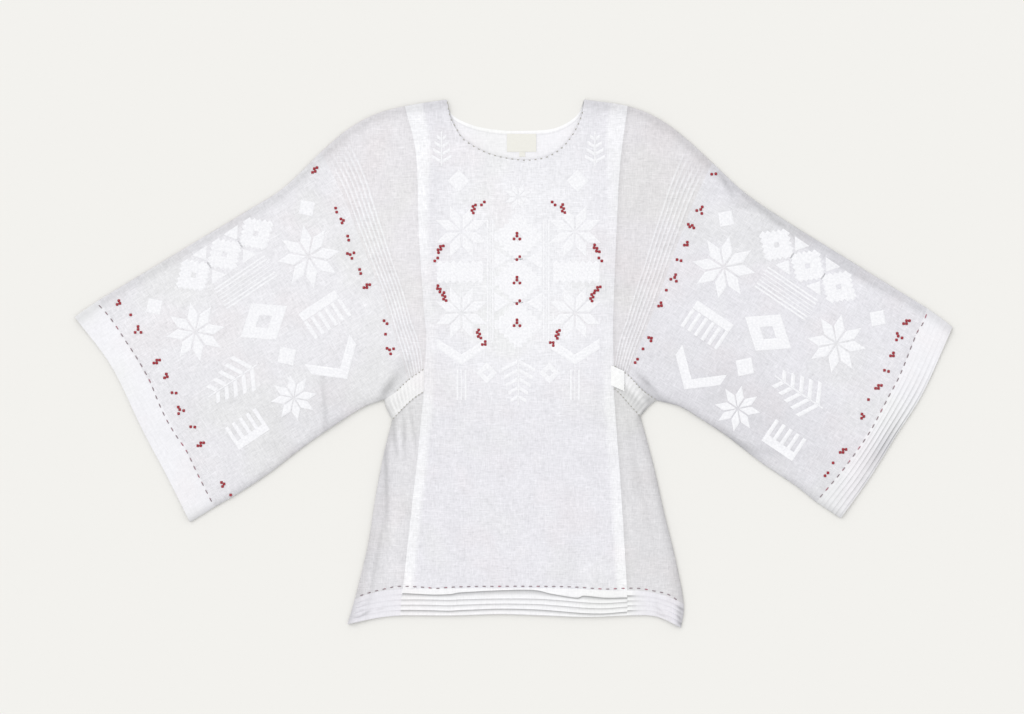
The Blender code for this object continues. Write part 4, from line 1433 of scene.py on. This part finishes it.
def chain(width, height, count):
    """Stepped diamonds side by side, each with a small one left open in it, and two wedges between them."""
    each = width / count
    wedge = np.array([(-0.24, 0.5), (0.24, 0.5), (0, 0.16)]) * (each, height)
    links = [([stepped(each * 1.04, height) + (x, 0), POINTS * height * 0.1 + (x, 0)], 90)
             for x in spread(each, count)]
    return links + [([wedge * (1, sign) + (x, 0)], 0) for x in spread(each, count - 1) for sign in (-1, 1)]


def rungs(width, height, count):
    """Thin parallel lines."""
    w, thin = width / 2, 0.8
    return [([bar(-w, y - thin, w, y + thin)], 0) for y in np.linspace(-height / 2, height / 2, count)]


def star(size):
    """Eight kites round a point, every second one's floats turned a quarter."""
    kite = np.array([(0.06, 0.03), (0.58, 0.03), (1.0, 0.45), (0.50, 0.45)]) * size / 2
    parts = []
    for quarter in range(4):
        turn, lay = turning(90 * quarter).round(), 90 * (quarter % 2)
        parts += [([kite @ turn], 90 - lay), ([kite[:, ::-1] @ turn], lay)]
    return parts


def chevron(width, height, thick):
    """A V-shaped band."""
    w, h = width / 2, height / 2
    return [([[(-w, h), (0, thick - h), (w, h), (w, h - thick), (0, -h), (-w, h - thick)]], 90)]


def pine(width, height, boughs):
    """A stem with slanting boughs on both sides, shorter towards its tip."""
    stem, clear, thick = 1.2, 1.8, 0.42 * height / boughs
    parts = [([bar(-stem, -height / 2, stem, height / 2)], 0)]
    for bough in range(boughs):
        y = -height / 2 + (bough + 0.4) * height / (boughs + 0.6)
        w = width / 2 * (1 - 0.65 * bough / boughs)
        shape = np.array([(clear, y), (w, y + 0.5 * w), (w, y + 0.5 * w + thick), (clear, y + thick)])
        parts += [([shape * (sign, 1)], 90) for sign in (-1, 1)]
    return parts


def comb(width, height, teeth):
    """A bar with teeth hanging from it."""
    w, h = width / 2, height / 2
    tooth = width / (2 * teeth - 1)
    hanging = [bar(-w + 2 * i * tooth, h * 0.35, -w + (2 * i + 1) * tooth, -h) for i in range(teeth)]
    return [([bar(-w, h, w, h * 0.4)] + hanging, 0)]


def toothed(width, height, teeth):
    """A bar whose two long edges are cut in teeth."""
    w, h = width / 2, height / 2
    x = np.linspace(-w, w, 2 * teeth + 1)
    y = np.where(np.arange(x.size) % 2, h, h * 0.72)
    return [([np.vstack([np.column_stack([x, y]), np.column_stack([x, -y])[::-1]])], 90)]


FLOSS_WIDTH, FLOSS_HEIGHT = 1.8, 0.34


def embroidery(name, rows):
    """White floats of a table of motifs, each turned and put in its place, as three-sided spindles."""
    starts, ends = [], []
    for motif, *middle, turn in rows:
        for outlines, angle in motif:
            for points, all_points in zip(floats(outlines, angle), (starts, ends)):
                all_points.append(points @ turning(turn) + middle)
    floss = spindles(np.vstack(starts), np.vstack(ends), FLOSS_WIDTH, FLOSS_HEIGHT, (0.08, 0.92), (1, 1), 3)
    return thread_piece(name, [floss], WHITE_THREAD, lift=0.05, smooth_below=60)


# %% Chest embroidery
def paired(motif, away, y, turn=0):
    """The same motif on both sides of the chest's middle."""
    return (motif, MIDDLE - away, y, turn), (motif, MIDDLE + away, y, turn)


# Columns: motif, x or distance from the middle, y, turn in degrees
CHEST = (
    (chain(196, 72, 3), MIDDLE, 124, 90),
    *paired(star(78), 85, 198),
    *paired(toothed(70, 36, 7), 87, 137),
    *paired(star(78), 85, 76),
    *paired(rungs(184, 8, 3), 42, 124, 90),
    *paired(chevron(74, 40, 16), 85, 18),
    (star(40), MIDDLE, 250, 0),
    (pine(50, 74, 5), MIDDLE, -26, 180),
    *paired(lozenge(32, 32, 0.35), 47, -14),
    *paired(rungs(46, 12, 3), 85, -32, 90),
    *paired(pine(30, 52, 4), 115, 322),
    *paired(lozenge(34, 34), 89, 274),
)
embroidery("chest_embroidery", CHEST)

# %% Sleeve embroidery
# Columns: motif, distance from the armhole along the sleeve, distance below its upper fold, turn in degrees
SLEEVE_MOTIFS = (
    (chain(168, 52, 3), 205, 48, 0),
    (star(88), 102, 120, 0),
    (rungs(92, 34, 7), 202, 100, 0),
    (star(82), 306, 120, 0),
    (comb(66, 46, 6), 130, 206, 0),
    (lozenge(84, 66, 0.35), 212, 164, 0),
    (pine(60, 86, 5), 300, 212, 90),
    (lozenge(34, 34), 212, 226, 0),
    (chevron(80, 54, 19), 156, 278, 0),
    (star(64), 238, 284, 0),
    (comb(56, 38, 5), 322, 284, 180),
    (lozenge(30, 30), 64, 58, 0),
    (lozenge(30, 30), 336, 54, 0),
)


def sleeve_rows(side):
    """The sleeve's table turned to its own slope and, on the right, mirrored."""
    start, end = (np.array(SIDES[side]["sleeve_top"][at], float) for at in (0, -1))
    ahead = (end - start) / np.hypot(*(end - start))
    down = np.array([ahead[1], -ahead[0]]) * (1 if side == "right" else -1)
    turn = math.degrees(math.atan2(ahead[1], ahead[0])) + (0 if side == "right" else 180)
    return [(motif, *(start + ahead * far + down * below), turn + own)
            for motif, far, below, own in SLEEVE_MOTIFS]


for side in SIDES:
    embroidery(f"sleeve_{side}_embroidery", sleeve_rows(side))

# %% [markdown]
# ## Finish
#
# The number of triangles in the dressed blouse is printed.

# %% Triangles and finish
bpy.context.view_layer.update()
shown = [made.data for made in bpy.data.objects if made.type == "MESH" and not made.hide_render]
print("triangles:", sum(len(mesh.loops) - 2 * len(mesh.polygons) for mesh in shown))
